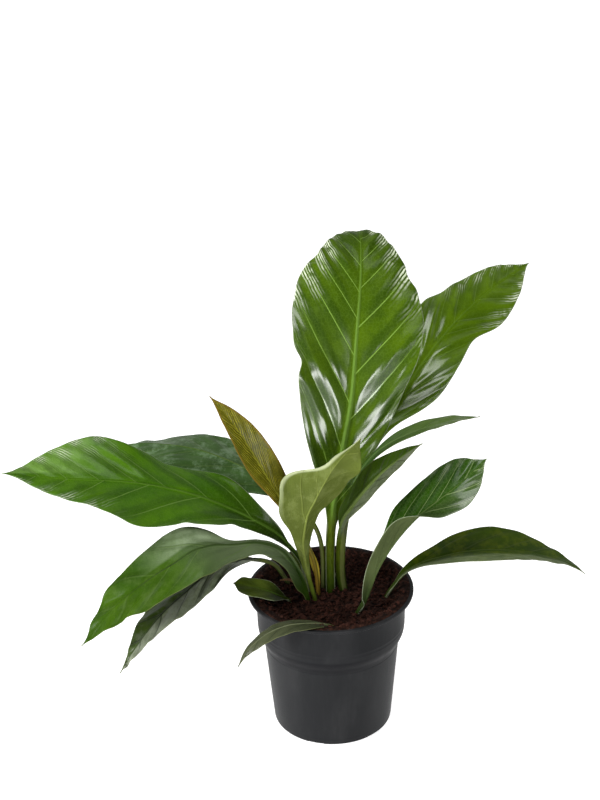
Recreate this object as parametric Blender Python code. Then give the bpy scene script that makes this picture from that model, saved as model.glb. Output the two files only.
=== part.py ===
"""Potted anthurium: a bird's-nest foliage plant in a plastic grower pot.

Lengths are in millimetres and are turned into metres when a mesh is made.
The pot stands on z = 0 with its centre on the origin. The plant's front is -Y.
Each leaf is one solid: its petiole runs on into the midrib and the blade.
"""
import bpy
import numpy as np

MM = 0.001

POT_SIDES = 60
POT_RIM_R = 95.0
POT_RIM_Z = 170.0
POT_LIP_T = 3.2
POT_COLLAR_R = 86.5
POT_COLLAR_FOOT_R = 84.5
POT_COLLAR_FOOT_Z = 118.0
POT_WALL_TOP_R = 78.0
POT_WALL_TOP_Z = 106.0
POT_FOOT_R = 68.7
POT_WALL_T = 1.6
POT_FLOOR_T = 2.4
POT_EDGE = 3.0
DRAIN_COUNT = 8
DRAIN_R = 5.0
DRAIN_RING_R = 46.0
NOTCH_COUNT = 6
NOTCH_W = 18.0
NOTCH_H = 1.6
NOTCH_DEEP = 8.0
FLOOR_RING_R = (30.0, 58.0)

SOIL_Z = 161.0
SOIL_EDGE_Z = 159.0
SOIL_RISE = 3.0
SOIL_BUMP = 0.9
SOIL_GAP = 0.4
SOIL_RINGS = 10
SOIL_SIDES = 44
HOLE_GAP = 0.9
STALK_DEPTH = 22.0

EDGE_T = 0.8
RIB_MIN = 0.6
RIB_TAPER = 0.85
WAVE_GROWTH = 1.6
WAVE_FADE = 0.7
HALF_COLUMNS = 4
BLADE_STEPS = 15
STALK_STEPS_PER_LENGTH = 22

GREEN = (0.075, 0.20, 0.018)
DARK_GREEN = (0.045, 0.12, 0.022)
PALE_GREEN = (0.26, 0.32, 0.09)
BRONZE = (0.20, 0.17, 0.03)
YELLOW = (0.48, 0.42, 0.05)
BROWN = (0.16, 0.09, 0.04)
POT_GREY = (0.045, 0.045, 0.05)
PEAT = (0.05, 0.022, 0.014)

# A leaf's path has rows of (outward, sideways, upward) from where its petiole leaves
# the soil at root; outward is the compass heading in degrees. From blade_from, a share
# of the length, left and right are its half widths at even steps up to the tip.
# fold lifts each half about the midrib, curl bends it on the way to the margin, roll
# turns the blade about its length, all in degrees from the blade's foot to its tip.
# wave is the height, the number of waves and the start of the margin's waves.
LEAVES = [
    dict(name="leaf_big_upright", color=GREEN, root=(0, 5), heading=90, stalk=3.6,
         path=[(0, 0, 0), (9, -1, 60), (17, -6, 108), (34, -18, 169), (48, -28, 219),
               (71, -36, 292), (89, -41, 340), (108, -43, 368), (131, -43, 383),
               (152, -42, 383), (166, -41, 374)],
         blade_from=0.2, left=(13, 36, 53, 62, 70, 74, 66, 36),
         right=(18, 30, 45, 58, 71, 72, 56, 30), fold=(14, 8, 4),
         fold_right=(-10, 8, 4), curl=(10, 0, -20), wave=(9, 2.5, 0.05),
         wave_right=(8, 2.5, 0.8)),
    dict(name="leaf_right_tall", color=GREEN, root=(6, 22), heading=46, stalk=3.0,
         path=[(0, 0, 0), (9, 0, 20), (20, 0, 76), (41, 0, 132), (77, 0, 173),
               (119, 0, 200), (161, 0, 230), (209, 0, 257), (260, 0, 275),
               (310, 0, 286), (359, 0, 293)],
         blade_from=0.26, left=(7, 18, 32, 41, 44, 32, 22),
         right=(8, 17, 36, 36, 31, 40, 26), fold=(8, 5, 0), roll=(45, 40, 40),
         wave=(4, 2, 0.2), wave_right=(8, 2, 0.35)),
    dict(name="leaf_right_arch", color=DARK_GREEN, root=(16, 13.4), heading=10, stalk=2.4,
         path=[(0, 0, 0), (-3, 0, 31), (2, 0, 89), (15, 0, 138), (34, 0, 165),
               (49, 0, 177), (83, 0, 191), (126, 0, 200), (158, 0, 201)],
         blade_from=0.36, left=(4, 6, 10, 17, 23, 24, 18),
         right=(5, 11, 18, 25, 28, 23, 12), fold=(8, 5, 5), roll=(-12, -14, -14),
         wave=(1, 2, 0)),
    dict(name="leaf_right_dark", color=DARK_GREEN, root=(15, 4), heading=-8, stalk=2.8,
         path=[(0, 0, 0), (-3, -1, 24), (-2, -4, 63), (3, -7, 99), (12, -10, 117),
               (23, -12, 134), (48, -14, 165), (74, -14, 189), (90, -14, 201)],
         blade_from=0.36, left=(8, 14, 19, 20, 18, 14, 8),
         right=(4, 8, 12, 15, 15, 12, 6), fold=(8, 8, 8), roll=(30, 35, 35),
         wave=(2, 2, 0)),
    dict(name="leaf_young_pale", color=PALE_GREEN, root=(-18, -13), heading=270,
         stalk=2.6,
         path=[(0, 0, 0), (7, -10, 52), (11, -12, 78), (15, -10, 100), (19, -6, 122),
               (20, 1, 137), (19, 10, 155), (15, 23, 176), (9, 36, 190), (-3, 54, 203)],
         blade_from=0.18, left=(4, 10, 16, 23, 33, 30, 27),
         right=(4, 8, 17, 35, 42, 13, 8), fold=(35, 45, 20), fold_right=(10, 0, 60),
         wave=(3, 1.5, 0)),
    dict(name="leaf_young_bronze", color=BRONZE, root=(-14, -3), heading=165, stalk=2.3,
         path=[(0, 0, 0), (5, 0, 47), (27, 0, 97), (45, 0, 127), (62, 0, 157),
               (85, 0, 197), (102, 0, 221), (119, 0, 241)],
         blade_from=0.3, left=(4, 7, 11, 17, 18, 14, 8),
         right=(5, 11, 19, 21, 20, 17, 10), fold=(15, 15, 15), roll=(-40, -45, -45),
         wave=(2, 2, 0)),
    dict(name="leaf_left_long", color=GREEN, root=(-25, 9), heading=186, stalk=3.4,
         path=[(0, 0, 0), (8, 0, 35), (28, 0, 70), (58, 0, 96), (92, 0, 118),
               (125, 0, 135), (160, 0, 148), (200, 0, 158), (270, 0, 168),
               (333, 0, 180)],
         blade_from=0.1, left=(8, 15, 38, 51, 60, 40, 20),
         right=(3, 13, 39, 40, 46, 51, 35), fold=(10, 6, 4), roll=(-20, -25, -25),
         wave=(5, 3, 0.1), wave_right=(12, 2, 0.75)),
    dict(name="leaf_left_back", color=DARK_GREEN, root=(-8, 15), heading=150, stalk=2.6,
         path=[(0, 0, 0), (2, 0, 58), (10, 0, 79), (33, 0, 106), (62, 0, 120),
               (89, 0, 129), (132, 0, 138), (171, 0, 141), (219, 0, 136), (256, 0, 128),
               (290, 0, 114)],
         blade_from=0.24, left=(10, 24, 36, 42, 42, 34, 18),
         right=(6, 20, 44, 50, 42, 35, 18), fold=(-20, -25, -20),
         fold_right=(10, 6, 4), roll=(8, 12, 15),
         wave=(4, 2, 0)),
    dict(name="leaf_left_arch", color=GREEN, root=(-26, -17), heading=200, stalk=3.0,
         path=[(0, 0, 0), (4, 0, 20), (13, 0, 44), (29, 0, 73), (56, 0, 90), (86, 0, 95),
               (110, 0, 99), (132, 0, 97), (151, 0, 88), (176, 0, 77), (206, 0, 60),
               (231, 0, 42), (264, 0, 8)],
         blade_from=0.07, left=(14, 18, 19, 16, 22, 34, 36, 38, 38, 27, 14),
         right=(3, 4, 5, 6, 10, 30, 37, 32, 29, 24, 13), fold=(15, 5, 0),
         roll=(-75, -35, -15, -15), wave=(5, 1.5, 0), wave_right=(6, 1.5, 0.2)),
    dict(name="leaf_left_low", color=DARK_GREEN, root=(-48, 24), heading=215, stalk=2.6,
         path=[(0, 0, 0), (7, 0, 14), (20, 0, 34), (45, 0, 49), (66, 0, 55), (90, 0, 57),
               (117, 0, 51), (141, 0, 40), (169, 0, 26), (196, 0, 5), (228, 0, -29)],
         blade_from=0.26, left=(11, 18, 24, 23, 22, 18, 10),
         right=(6, 13, 24, 31, 27, 19, 8), fold=(5, 0, 0), wave=(4, 1.5, 0)),
    dict(name="leaf_rim_left", color=GREEN, root=(-45, -18), heading=176, stalk=2.0,
         path=[(0, 0, 0), (4, 0, 5), (16, 0, 11), (27, 0, 16), (40, 0, 20), (53, 0, 23),
               (66, 0, 26)],
         blade_from=0.3, left=(8, 15, 18, 17, 16, 14, 9),
         right=(5, 10, 13, 13, 12, 11, 7), fold=(10, 10, 10), roll=(-10, -15, -15),
         wave=(1, 1, 0)),
    dict(name="leaf_rim_front", color=DARK_GREEN, root=(4, -76), heading=190, stalk=1.5,
         path=[(0, 0, 0), (4, 0, 5), (16, 0, 10), (38, 0, 13.5), (57, 0, 13),
               (77, 0, 6), (91, 0, -4), (103, 0, -17), (111, 0, -32)],
         blade_from=0.18, left=(8, 12, 13, 12, 10, 7, 3),
         right=(3, 6, 9, 11, 9, 7, 4), fold=(0, -8, -10), roll=(0, -8, -30),
         wave=(1, 1, 0)),
    dict(name="leaf_right_cup", color=GREEN, root=(29, -43), heading=15, stalk=3.0,
         path=[(0, 0, 0), (6, 0, 10), (14, 0, 29), (22, 0, 50), (33, 0, 69),
               (48, 0, 89), (68, 0, 109), (92, 0, 126), (113, 0, 140), (130, 0, 153),
               (151, 0, 171)],
         blade_from=0.1, left=(3, 4, 9, 18, 28, 31, 33, 33, 25),
         right=(9, 13, 17, 21, 25, 26, 26, 26, 17), fold=(0, 0, 0, 0),
         fold_right=(60, 90, 100, 98, 25, 0, 0), roll=(20, 30, 30), wave=(3, 1, 0)),
    dict(name="leaf_right_low", color=DARK_GREEN, root=(64, -8), heading=6, stalk=2.4,
         path=[(0, 0, 0), (5, 0, 9), (19, 0, 27), (38, 0, 39), (65, 0, 46), (91, 0, 50),
               (118, 0, 50), (149, 0, 46), (176, 0, 39), (215, 0, 22), (232, 0, 8)],
         blade_from=0.09, left=(6, 17, 32, 38, 35, 27, 15),
         right=(8, 20, 30, 44, 41, 25, 10), fold=(14, 14, 10), wave=(2, 2, 0)),
    dict(name="sheath_yellow", color=YELLOW, root=(-13, 7), heading=270, stalk=1.3,
         path=[(0, 0, 0), (0, -2, 20), (0, -7, 45), (0, -11, 64)],
         blade_from=0.28, left=(2.5, 4, 5, 4, 2), right=(2.5, 4, 5, 4, 2),
         fold=(30, 30, 20), wave=(0.5, 1, 0), steps=9),
    dict(name="sheath_brown", color=BROWN, root=(-38, 14), heading=215, stalk=1.2,
         path=[(0, 0, 0), (2, 0, 6), (10, 0, 14), (24, 0, 20)],
         blade_from=0.45, left=(2, 3, 3, 2), right=(2, 3, 3, 2),
         fold=(25, 30, 35), wave=(0.5, 1, 0), steps=9),
]


def clear_scene():
    for old in list(bpy.data.objects):
        bpy.data.objects.remove(old, do_unlink=True)


def material(name, color, roughness, metallic=0.0):
    mat = bpy.data.materials.new(name)
    mat.use_nodes = True
    bsdf = mat.node_tree.nodes["Principled BSDF"]
    bsdf.inputs["Base Color"].default_value = (*color, 1.0)
    bsdf.inputs["Roughness"].default_value = roughness
    bsdf.inputs["Metallic"].default_value = metallic
    return mat


def add_object(name, points, faces, mat=None, smooth=True):
    """A mesh object with its origin at the world's, from points in millimetres."""
    mesh = bpy.data.meshes.new(name)
    mesh.from_pydata((np.asarray(points) * MM).tolist(), [], faces)
    mesh.validate()
    mesh.polygons.foreach_set("use_smooth", [smooth] * len(mesh.polygons))
    if mat is not None:
        mesh.materials.append(mat)
    obj = bpy.data.objects.new(name, mesh)
    bpy.context.scene.collection.objects.link(obj)
    return obj


def cut(obj, cutter):
    """Takes the cutter's shape out of the object with a Boolean that stays live."""
    cutter.hide_render = True
    cutter.display_type = "WIRE"
    mod = obj.modifiers.new("cut_" + cutter.name, "BOOLEAN")
    mod.operation = "DIFFERENCE"
    mod.solver = "EXACT"
    mod.object = cutter


def revolve(rings, sides):
    """Points and faces of a closed body of rings (radius, height), each turned about Z.

    The first and last rings are the centres of two round faces.
    """
    turn = 2 * np.pi * np.arange(sides) / sides
    inner = np.array(rings[1:-1], float)
    x = inner[:, :1] * np.cos(turn)
    y = inner[:, :1] * np.sin(turn)
    z = np.repeat(inner[:, 1:], sides, axis=1)
    points = np.stack([x, y, z], axis=-1).reshape(-1, 3)
    first = len(points)
    points = np.vstack([points, (0, 0, rings[0][1]), (0, 0, rings[-1][1])])
    nxt = (np.arange(sides) + 1) % sides
    faces = []
    for ring in range(len(inner) - 1):
        low = ring * sides
        high = low + sides
        faces += [(low + i, low + int(j), high + int(j), high + i)
                  for i, j in enumerate(nxt)]
    top = (len(inner) - 1) * sides
    faces += [(first, int(j), i) for i, j in enumerate(nxt)]
    faces += [(first + 1, top + i, top + int(j)) for i, j in enumerate(nxt)]
    return points, faces


def cylinder(name, start, end, radius, sides=14):
    """A closed cylinder from start to end, in millimetres."""
    start = np.array(start, float)
    end = np.array(end, float)
    axis = (end - start) / np.linalg.norm(end - start)
    across = np.cross(axis, (0.0, 1.0, 0.0) if abs(axis[1]) < 0.9 else (1.0, 0.0, 0.0))
    across /= np.linalg.norm(across)
    third = np.cross(axis, across)
    turn = 2 * np.pi * np.arange(sides) / sides
    ring = radius * (np.cos(turn)[:, None] * across + np.sin(turn)[:, None] * third)
    points = np.vstack([start + ring, end + ring])
    faces = [(i, (i + 1) % sides, sides + (i + 1) % sides, sides + i)
             for i in range(sides)]
    faces.append(tuple(range(sides))[::-1])
    faces.append(tuple(range(sides, 2 * sides)))
    return add_object(name, points, faces)


def block(name, centre, size, heading):
    """A closed box turned about Z by a heading in radians."""
    corners = np.array([(x, y, z) for z in (-0.5, 0.5)
                        for x, y in ((-0.5, -0.5), (0.5, -0.5), (0.5, 0.5), (-0.5, 0.5))])
    corners = corners * size
    c, s = np.cos(heading), np.sin(heading)
    points = np.column_stack([c * corners[:, 0] - s * corners[:, 1],
                              s * corners[:, 0] + c * corners[:, 1], corners[:, 2]])
    faces = [(3, 2, 1, 0), (4, 5, 6, 7), (0, 1, 5, 4), (1, 2, 6, 5), (2, 3, 7, 6),
             (3, 0, 4, 7)]
    return add_object(name, points + centre, faces, smooth=False)


def smooth_steps(values, at):
    """Values at even steps from 0 to 1, joined by a Catmull-Rom curve and read at `at`."""
    v = np.atleast_1d(np.asarray(values, float))
    if len(v) == 1:
        return np.full_like(at, v[0])
    last = len(v) - 1
    x = np.clip(at, 0, 1) * last
    i = np.minimum(x.astype(int), last - 1)
    f = x - i
    v0, v1 = v[i], v[i + 1]
    m0 = (v1 - v[np.maximum(i - 1, 0)]) / 2
    m1 = (v[np.minimum(i + 2, last)] - v0) / 2
    return ((1 + 2 * f) * (1 - f) ** 2 * v0 + f * (1 - f) ** 2 * m0
            + f * f * (3 - 2 * f) * v1 + f * f * (f - 1) * m1)


def spline(points, shares):
    """Points at shares of the length of a centripetal Catmull-Rom curve, and tangents."""
    p = np.asarray(points, float)
    p = np.vstack([2 * p[0] - p[1], p, 2 * p[-1] - p[-2]])
    knots = np.concatenate([[0], np.cumsum(np.linalg.norm(np.diff(p, axis=0), axis=1)
                                           ** 0.5)])
    runs = []
    for i in range(1, len(p) - 2):
        t0, t1, t2, t3 = knots[i - 1:i + 3]
        t = np.linspace(t1, t2, 60, endpoint=(i == len(p) - 3))[:, None]
        a1 = (t1 - t) / (t1 - t0) * p[i - 1] + (t - t0) / (t1 - t0) * p[i]
        a2 = (t2 - t) / (t2 - t1) * p[i] + (t - t1) / (t2 - t1) * p[i + 1]
        a3 = (t3 - t) / (t3 - t2) * p[i + 1] + (t - t2) / (t3 - t2) * p[i + 2]
        b1 = (t2 - t) / (t2 - t0) * a1 + (t - t0) / (t2 - t0) * a2
        b2 = (t3 - t) / (t3 - t1) * a2 + (t - t1) / (t3 - t1) * a3
        runs.append((t2 - t) / (t2 - t1) * b1 + (t - t1) / (t2 - t1) * b2)
    curve = np.vstack(runs)
    length = np.concatenate([[0], np.cumsum(np.linalg.norm(np.diff(curve, axis=0),
                                                           axis=1))])
    even = np.linspace(0, length[-1], 400)
    line = np.stack([np.interp(even, length, curve[:, k]) for k in range(3)], -1)
    tangent = np.gradient(line, axis=0)
    tangent /= np.linalg.norm(tangent, axis=1)[:, None]
    at = np.asarray(shares) * length[-1]
    point = np.stack([np.interp(at, even, line[:, k]) for k in range(3)], -1)
    along = np.stack([np.interp(at, even, tangent[:, k]) for k in range(3)], -1)
    return point, along / np.linalg.norm(along, axis=1)[:, None]


def world_path(leaf):
    """The midrib's points in the world, with the buried end of the petiole in front."""
    turn = np.radians(leaf["heading"])
    out = np.array([np.cos(turn), np.sin(turn), 0.0])
    side = np.array([-np.sin(turn), np.cos(turn), 0.0])
    root = np.array([leaf["root"][0], leaf["root"][1], SOIL_Z])
    rows = np.array(leaf["path"], float)
    points = root + rows[:, :1] * out + rows[:, 1:2] * side + rows[:, 2:] * (0, 0, 1)
    start = points[1] - points[0]
    buried = points[0] - STALK_DEPTH * start / np.linalg.norm(start)
    return np.vstack([buried, points]), side


def leaf_surface(leaf, u, t):
    """Middle surface of a leaf at shares u of its length and t across, left is +1.

    The midrib is a curve in space. At each point of it the two halves leave at the
    fold angle, bend by the curl on the way to the margin, and carry a wave that grows
    with the distance from the midrib. The petiole's part is as wide as the stalk.
    """
    points, side = world_path(leaf)
    mid, along = spline(points, u)
    across = side - (along @ side)[:, None] * along
    across /= np.linalg.norm(across, axis=1)[:, None]
    up = np.cross(along, across)
    b = np.clip((u - leaf["blade_from"]) / (1 - leaf["blade_from"]), 0, 1)
    roll = np.radians(smooth_steps(leaf.get("roll", (0,)), b))[:, None]
    across, up = (across * np.cos(roll) + up * np.sin(roll),
                  up * np.cos(roll) - across * np.sin(roll))
    rib = np.maximum(leaf["stalk"] * (1 - b) ** RIB_TAPER, RIB_MIN)
    is_left = t > 0

    def halves(left, right):
        return np.where(is_left, left[:, None], right[:, None])

    blade = halves(smooth_steps((0, *leaf["left"], 0), b),
                   smooth_steps((0, *leaf["right"], 0), b))
    width = np.sqrt(np.maximum(blade, 0) ** 2 + rib[:, None] ** 2)
    spread = np.clip((width / rib[:, None] - 1) / 1.5, 0, 1)
    fold_right = leaf.get("fold_right", leaf["fold"])
    fold = spread * np.radians(halves(smooth_steps(leaf["fold"], b),
                                      smooth_steps(fold_right, b)))
    curl = np.radians(smooth_steps(leaf.get("curl", (0,)), b))[:, None] + 0.001
    a = np.abs(t)
    x = width * (np.sin(fold + curl * a) - np.sin(fold)) / curl
    z = width * (np.cos(fold) - np.cos(fold + curl * a)) / curl
    wave = [w[0] * np.sin(2 * np.pi * (w[1] * b + w[2]))
            for w in (leaf["wave"], leaf.get("wave_right", leaf["wave"]))]
    z = z + halves(*wave) * np.sin(np.pi * b)[:, None] ** WAVE_FADE * a ** WAVE_GROWTH
    surface = (mid[:, None] + across[:, None] * (x * np.sign(t))[..., None]
               + up[:, None] * z[..., None])
    return surface, b, rib, width


def leaf_columns(leaf, u):
    """Places across the leaf: by angle round the stalk, by width on the blade."""
    steps = np.arange(HALF_COLUMNS + 1) / HALF_COLUMNS
    on_stalk = np.sin(steps * np.pi / 2)
    halves = []
    for sign in (-1.0, 1.0):
        _, _, rib, width = leaf_surface(leaf, u, np.full((len(u), 1), sign))
        share = rib[:, None] / width
        outer = (np.arange(1, HALF_COLUMNS + 1) - 1) / (HALF_COLUMNS - 1)
        on_blade = np.hstack([np.zeros_like(share), share + (1 - share) * outer])
        mix = np.clip((1 / share - 1) / 1.5, 0, 1)
        halves.append(sign * ((1 - mix) * on_stalk + mix * on_blade))
    return np.hstack([halves[0][:, ::-1], halves[1][:, 1:]])


def leaf_solid(leaf):
    """The leaf's closed mesh: its surface with the blade's and the midrib's thickness.

    Half the thickness at a distance x from the midrib is the height of a round rib,
    the root of rib squared less x squared, and no less than half the blade's.
    """
    steps = leaf.get("steps", BLADE_STEPS)
    start = leaf["blade_from"]
    stalk_steps = max(2, round(start * STALK_STEPS_PER_LENGTH))
    u = np.concatenate([np.linspace(0, start, stalk_steps + 1)[:-1],
                        start + (1 - start) * np.linspace(0, 1, steps) ** 0.95])
    t = leaf_columns(leaf, u)
    surface, _, rib, width = leaf_surface(leaf, u, t)
    lengthwise = np.gradient(surface, axis=0)
    crosswise = np.gradient(surface, axis=1)
    normal = np.cross(lengthwise, crosswise)
    normal /= np.linalg.norm(normal, axis=-1, keepdims=True)
    x = np.abs(t) * width
    round_rib = np.sqrt(np.maximum(rib[:, None] ** 2 - x ** 2, 0))
    half = np.maximum(round_rib, EDGE_T / 2)[..., None]
    rows, cols = t.shape
    points = np.vstack([(surface + normal * half).reshape(-1, 3),
                        (surface - normal * half).reshape(-1, 3)])
    under = rows * cols
    faces = []
    for i in range(rows - 1):
        for j in range(cols - 1):
            a = i * cols + j
            b, c, d = a + cols, a + cols + 1, a + 1
            faces += [(a, b, c), (a, c, d)]
            faces += [(under + a, under + c, under + b), (under + a, under + d, under + c)]
        for j, flip in ((0, False), (cols - 1, True)):
            a = i * cols + j
            b = a + cols
            quad = (a, under + a, under + b, b)
            faces.append(quad[::-1] if flip else quad)
    for i, flip in ((0, True), (rows - 1, False)):
        for j in range(cols - 1):
            a = i * cols + j
            quad = (a, under + a, under + a + 1, a + 1)
            faces.append(quad[::-1] if flip else quad)
    skin = material(leaf["name"] + "_skin", leaf["color"], roughness=0.35)
    return add_object(leaf["name"], points, faces, skin)


def make_pot():
    """The injection-moulded pot: a thin shell with a stepped collar and a flat lip."""
    inner_foot = POT_FOOT_R - POT_WALL_T
    lip_low = POT_RIM_Z - POT_LIP_T
    rings = [(0, 0), *((r, 0) for r in FLOOR_RING_R), (POT_FOOT_R - POT_EDGE, 0),
             (POT_FOOT_R - 0.3 * POT_EDGE, 0.3 * POT_EDGE),
             (POT_FOOT_R, POT_EDGE),
             (POT_WALL_TOP_R, POT_WALL_TOP_Z),
             (POT_COLLAR_FOOT_R, POT_COLLAR_FOOT_Z),
             (POT_COLLAR_R, lip_low),
             (POT_RIM_R - 0.8, lip_low),
             (POT_RIM_R, lip_low + 0.8),
             (POT_RIM_R, POT_RIM_Z - 0.9),
             (POT_RIM_R - 0.9, POT_RIM_Z),
             (POT_COLLAR_R - POT_WALL_T + 1.0, POT_RIM_Z),
             (POT_COLLAR_R - POT_WALL_T, POT_RIM_Z - 1.0),
             (POT_COLLAR_FOOT_R - POT_WALL_T, POT_COLLAR_FOOT_Z),
             (POT_WALL_TOP_R - POT_WALL_T, POT_WALL_TOP_Z),
             (inner_foot, POT_FLOOR_T + 2.0),
             (inner_foot - 2.0, POT_FLOOR_T),
             *((r, POT_FLOOR_T) for r in FLOOR_RING_R[::-1]), (0, POT_FLOOR_T)]
    points, faces = revolve(rings, POT_SIDES)
    plastic = material("pot_plastic", POT_GREY, roughness=0.55)
    pot = add_object("pot", points, faces, plastic)
    for k in range(DRAIN_COUNT):
        turn = 2 * np.pi * (k + 0.5) / DRAIN_COUNT
        x, y = DRAIN_RING_R * np.cos(turn), DRAIN_RING_R * np.sin(turn)
        cut(pot, cylinder(f"drain_{k}", (x, y, -3), (x, y, POT_FLOOR_T + 3), DRAIN_R))
    for k in range(NOTCH_COUNT):
        turn = 2 * np.pi * (k + 0.2) / NOTCH_COUNT
        reach = POT_FOOT_R - NOTCH_DEEP / 2 + 1
        centre = np.array([reach * np.cos(turn), reach * np.sin(turn), 0])
        size = (NOTCH_DEEP, NOTCH_W, 2 * NOTCH_H)
        cut(pot, block(f"notch_{k}", centre, size, turn))
    return pot


def soil_height(x, y):
    """A low mound with shallow lumps, from three crossed waves that fade to the rim."""
    share = np.hypot(x, y) / POT_COLLAR_FOOT_R
    lumps = (np.sin(0.11 * x + 0.07 * y) + np.sin(0.13 * y - 0.05 * x + 2)
             + np.sin(0.23 * x + 1) * np.sin(0.21 * y))
    fade = np.clip(7 * (0.97 - share), 0, 1)
    return SOIL_EDGE_Z + SOIL_RISE * (1 - share ** 2) + SOIL_BUMP * lumps * fade


def make_soil():
    """The peat that fills the pot up to ten millimetres below the lip, one hole a leaf."""
    gap = SOIL_GAP + POT_WALL_T
    side = [(POT_FOOT_R - gap - 2.2, POT_FLOOR_T + SOIL_GAP),
            (POT_FOOT_R - gap, POT_FLOOR_T + 2.4),
            (POT_WALL_TOP_R - gap - 0.1, POT_WALL_TOP_Z + 0.2),
            (POT_COLLAR_FOOT_R - gap - 0.1, POT_COLLAR_FOOT_Z + 0.2)]
    slope = (POT_COLLAR_R - POT_COLLAR_FOOT_R) / (POT_RIM_Z - POT_LIP_T - POT_COLLAR_FOOT_Z)
    edge_r = POT_COLLAR_FOOT_R - gap - 0.1 + slope * (SOIL_EDGE_Z - POT_COLLAR_FOOT_Z)
    top = [(edge_r * (SOIL_RINGS - k) / SOIL_RINGS, SOIL_Z) for k in range(SOIL_RINGS)]
    rings = [(0, POT_FLOOR_T + SOIL_GAP)] + side + top + [(0, SOIL_Z)]
    points, faces = revolve(rings, SOIL_SIDES)
    crown = points[:, 2] == SOIL_Z
    points[crown, 2] = soil_height(points[crown, 0], points[crown, 1])
    peat = material("soil_peat", PEAT, roughness=0.95)
    soil = add_object("soil", points, faces, peat)
    for leaf in LEAVES:
        ends, _ = world_path(leaf)
        start = ends[0] - 1.0 * (ends[1] - ends[0]) / STALK_DEPTH
        end = ends[1] + 14.0 * (ends[1] - ends[0]) / STALK_DEPTH
        hole = cylinder("hole_" + leaf["name"], start, end, leaf["stalk"] + HOLE_GAP)
        cut(soil, hole)
    return soil


clear_scene()
make_pot()
make_soil()
for each in LEAVES:
    leaf_solid(each)
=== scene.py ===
"""Potted anthurium: a bird's-nest foliage plant in a plastic grower pot.

The pot stands on z = 0 with its centre on the origin, and the plant's front is -Y. Lengths are in
millimetres until a mesh is made. Each leaf follows the same formula as its solid, on a finer grid
and with its veins in relief.
"""

import bpy
import numpy as np
from mathutils import Matrix


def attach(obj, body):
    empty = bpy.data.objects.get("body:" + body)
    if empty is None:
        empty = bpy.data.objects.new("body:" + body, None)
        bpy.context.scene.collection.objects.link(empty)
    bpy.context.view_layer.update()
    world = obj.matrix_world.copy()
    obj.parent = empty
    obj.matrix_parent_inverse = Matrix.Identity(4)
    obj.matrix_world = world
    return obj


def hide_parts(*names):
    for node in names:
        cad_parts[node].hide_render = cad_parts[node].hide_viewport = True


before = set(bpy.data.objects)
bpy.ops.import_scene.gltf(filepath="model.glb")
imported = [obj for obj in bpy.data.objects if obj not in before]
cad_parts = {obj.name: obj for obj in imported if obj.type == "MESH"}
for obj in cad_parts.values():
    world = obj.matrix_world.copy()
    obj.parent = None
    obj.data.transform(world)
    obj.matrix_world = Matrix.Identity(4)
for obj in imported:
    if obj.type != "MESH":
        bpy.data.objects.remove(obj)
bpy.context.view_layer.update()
bpy.context.scene.view_settings.view_transform = "Standard"


# The pot: a thin injection-moulded grower pot of matt dark grey polypropylene. It has a flat lip,
# a stepped collar under it, faint mould lines, and drain holes and notches at its foot.
MM = 0.001
POT_SIDES = 192
HOLE_SIDES = 32
CAP_R = 30.0
LIP_R = 95.0
LIP_Z = 170.0
LIP_T = 3.2
COLLAR_R = 86.5
COLLAR_FOOT = (84.5, 118.0)
WALL_TOP = (78.0, 106.0)
FOOT_R = 68.7
WALL_T = 1.6
FLOOR_T = 2.4
DRAIN_COUNT = 8
DRAIN_R = 5.0
DRAIN_RING_R = 46.0
DRILL = ((0, -3), (DRAIN_R, -3), (DRAIN_R, 6), (0, 6))
NOTCH_COUNT = 6
NOTCH = (8.0, 18.0, 3.2)
NOTCH_OUT = 1.0
NOTCH_TURN = 0.2
FOOT_ROUND = 2.6
STEP_ROUND = 6.0
LIP_ROUND = (0.8, 0.9, 1.2)
INSIDE_ROUND = 2.0
BRIDGE_POINTS = 6
SHARP_ANGLE = 50.0
WALL_FOOT_Z = 3.0
MOULD_LINES = (131.0, 126.0, 102.0)
MOULD_LINE_H = 0.14
MOULD_LINE_TOP = 0.3
MOULD_LINE_BASE = 0.9
PLASTIC = (0.0098, 0.0102, 0.0110)
DUSTY = (0.024, 0.024, 0.025)
SHADED = (0.004, 0.004, 0.005)


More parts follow.
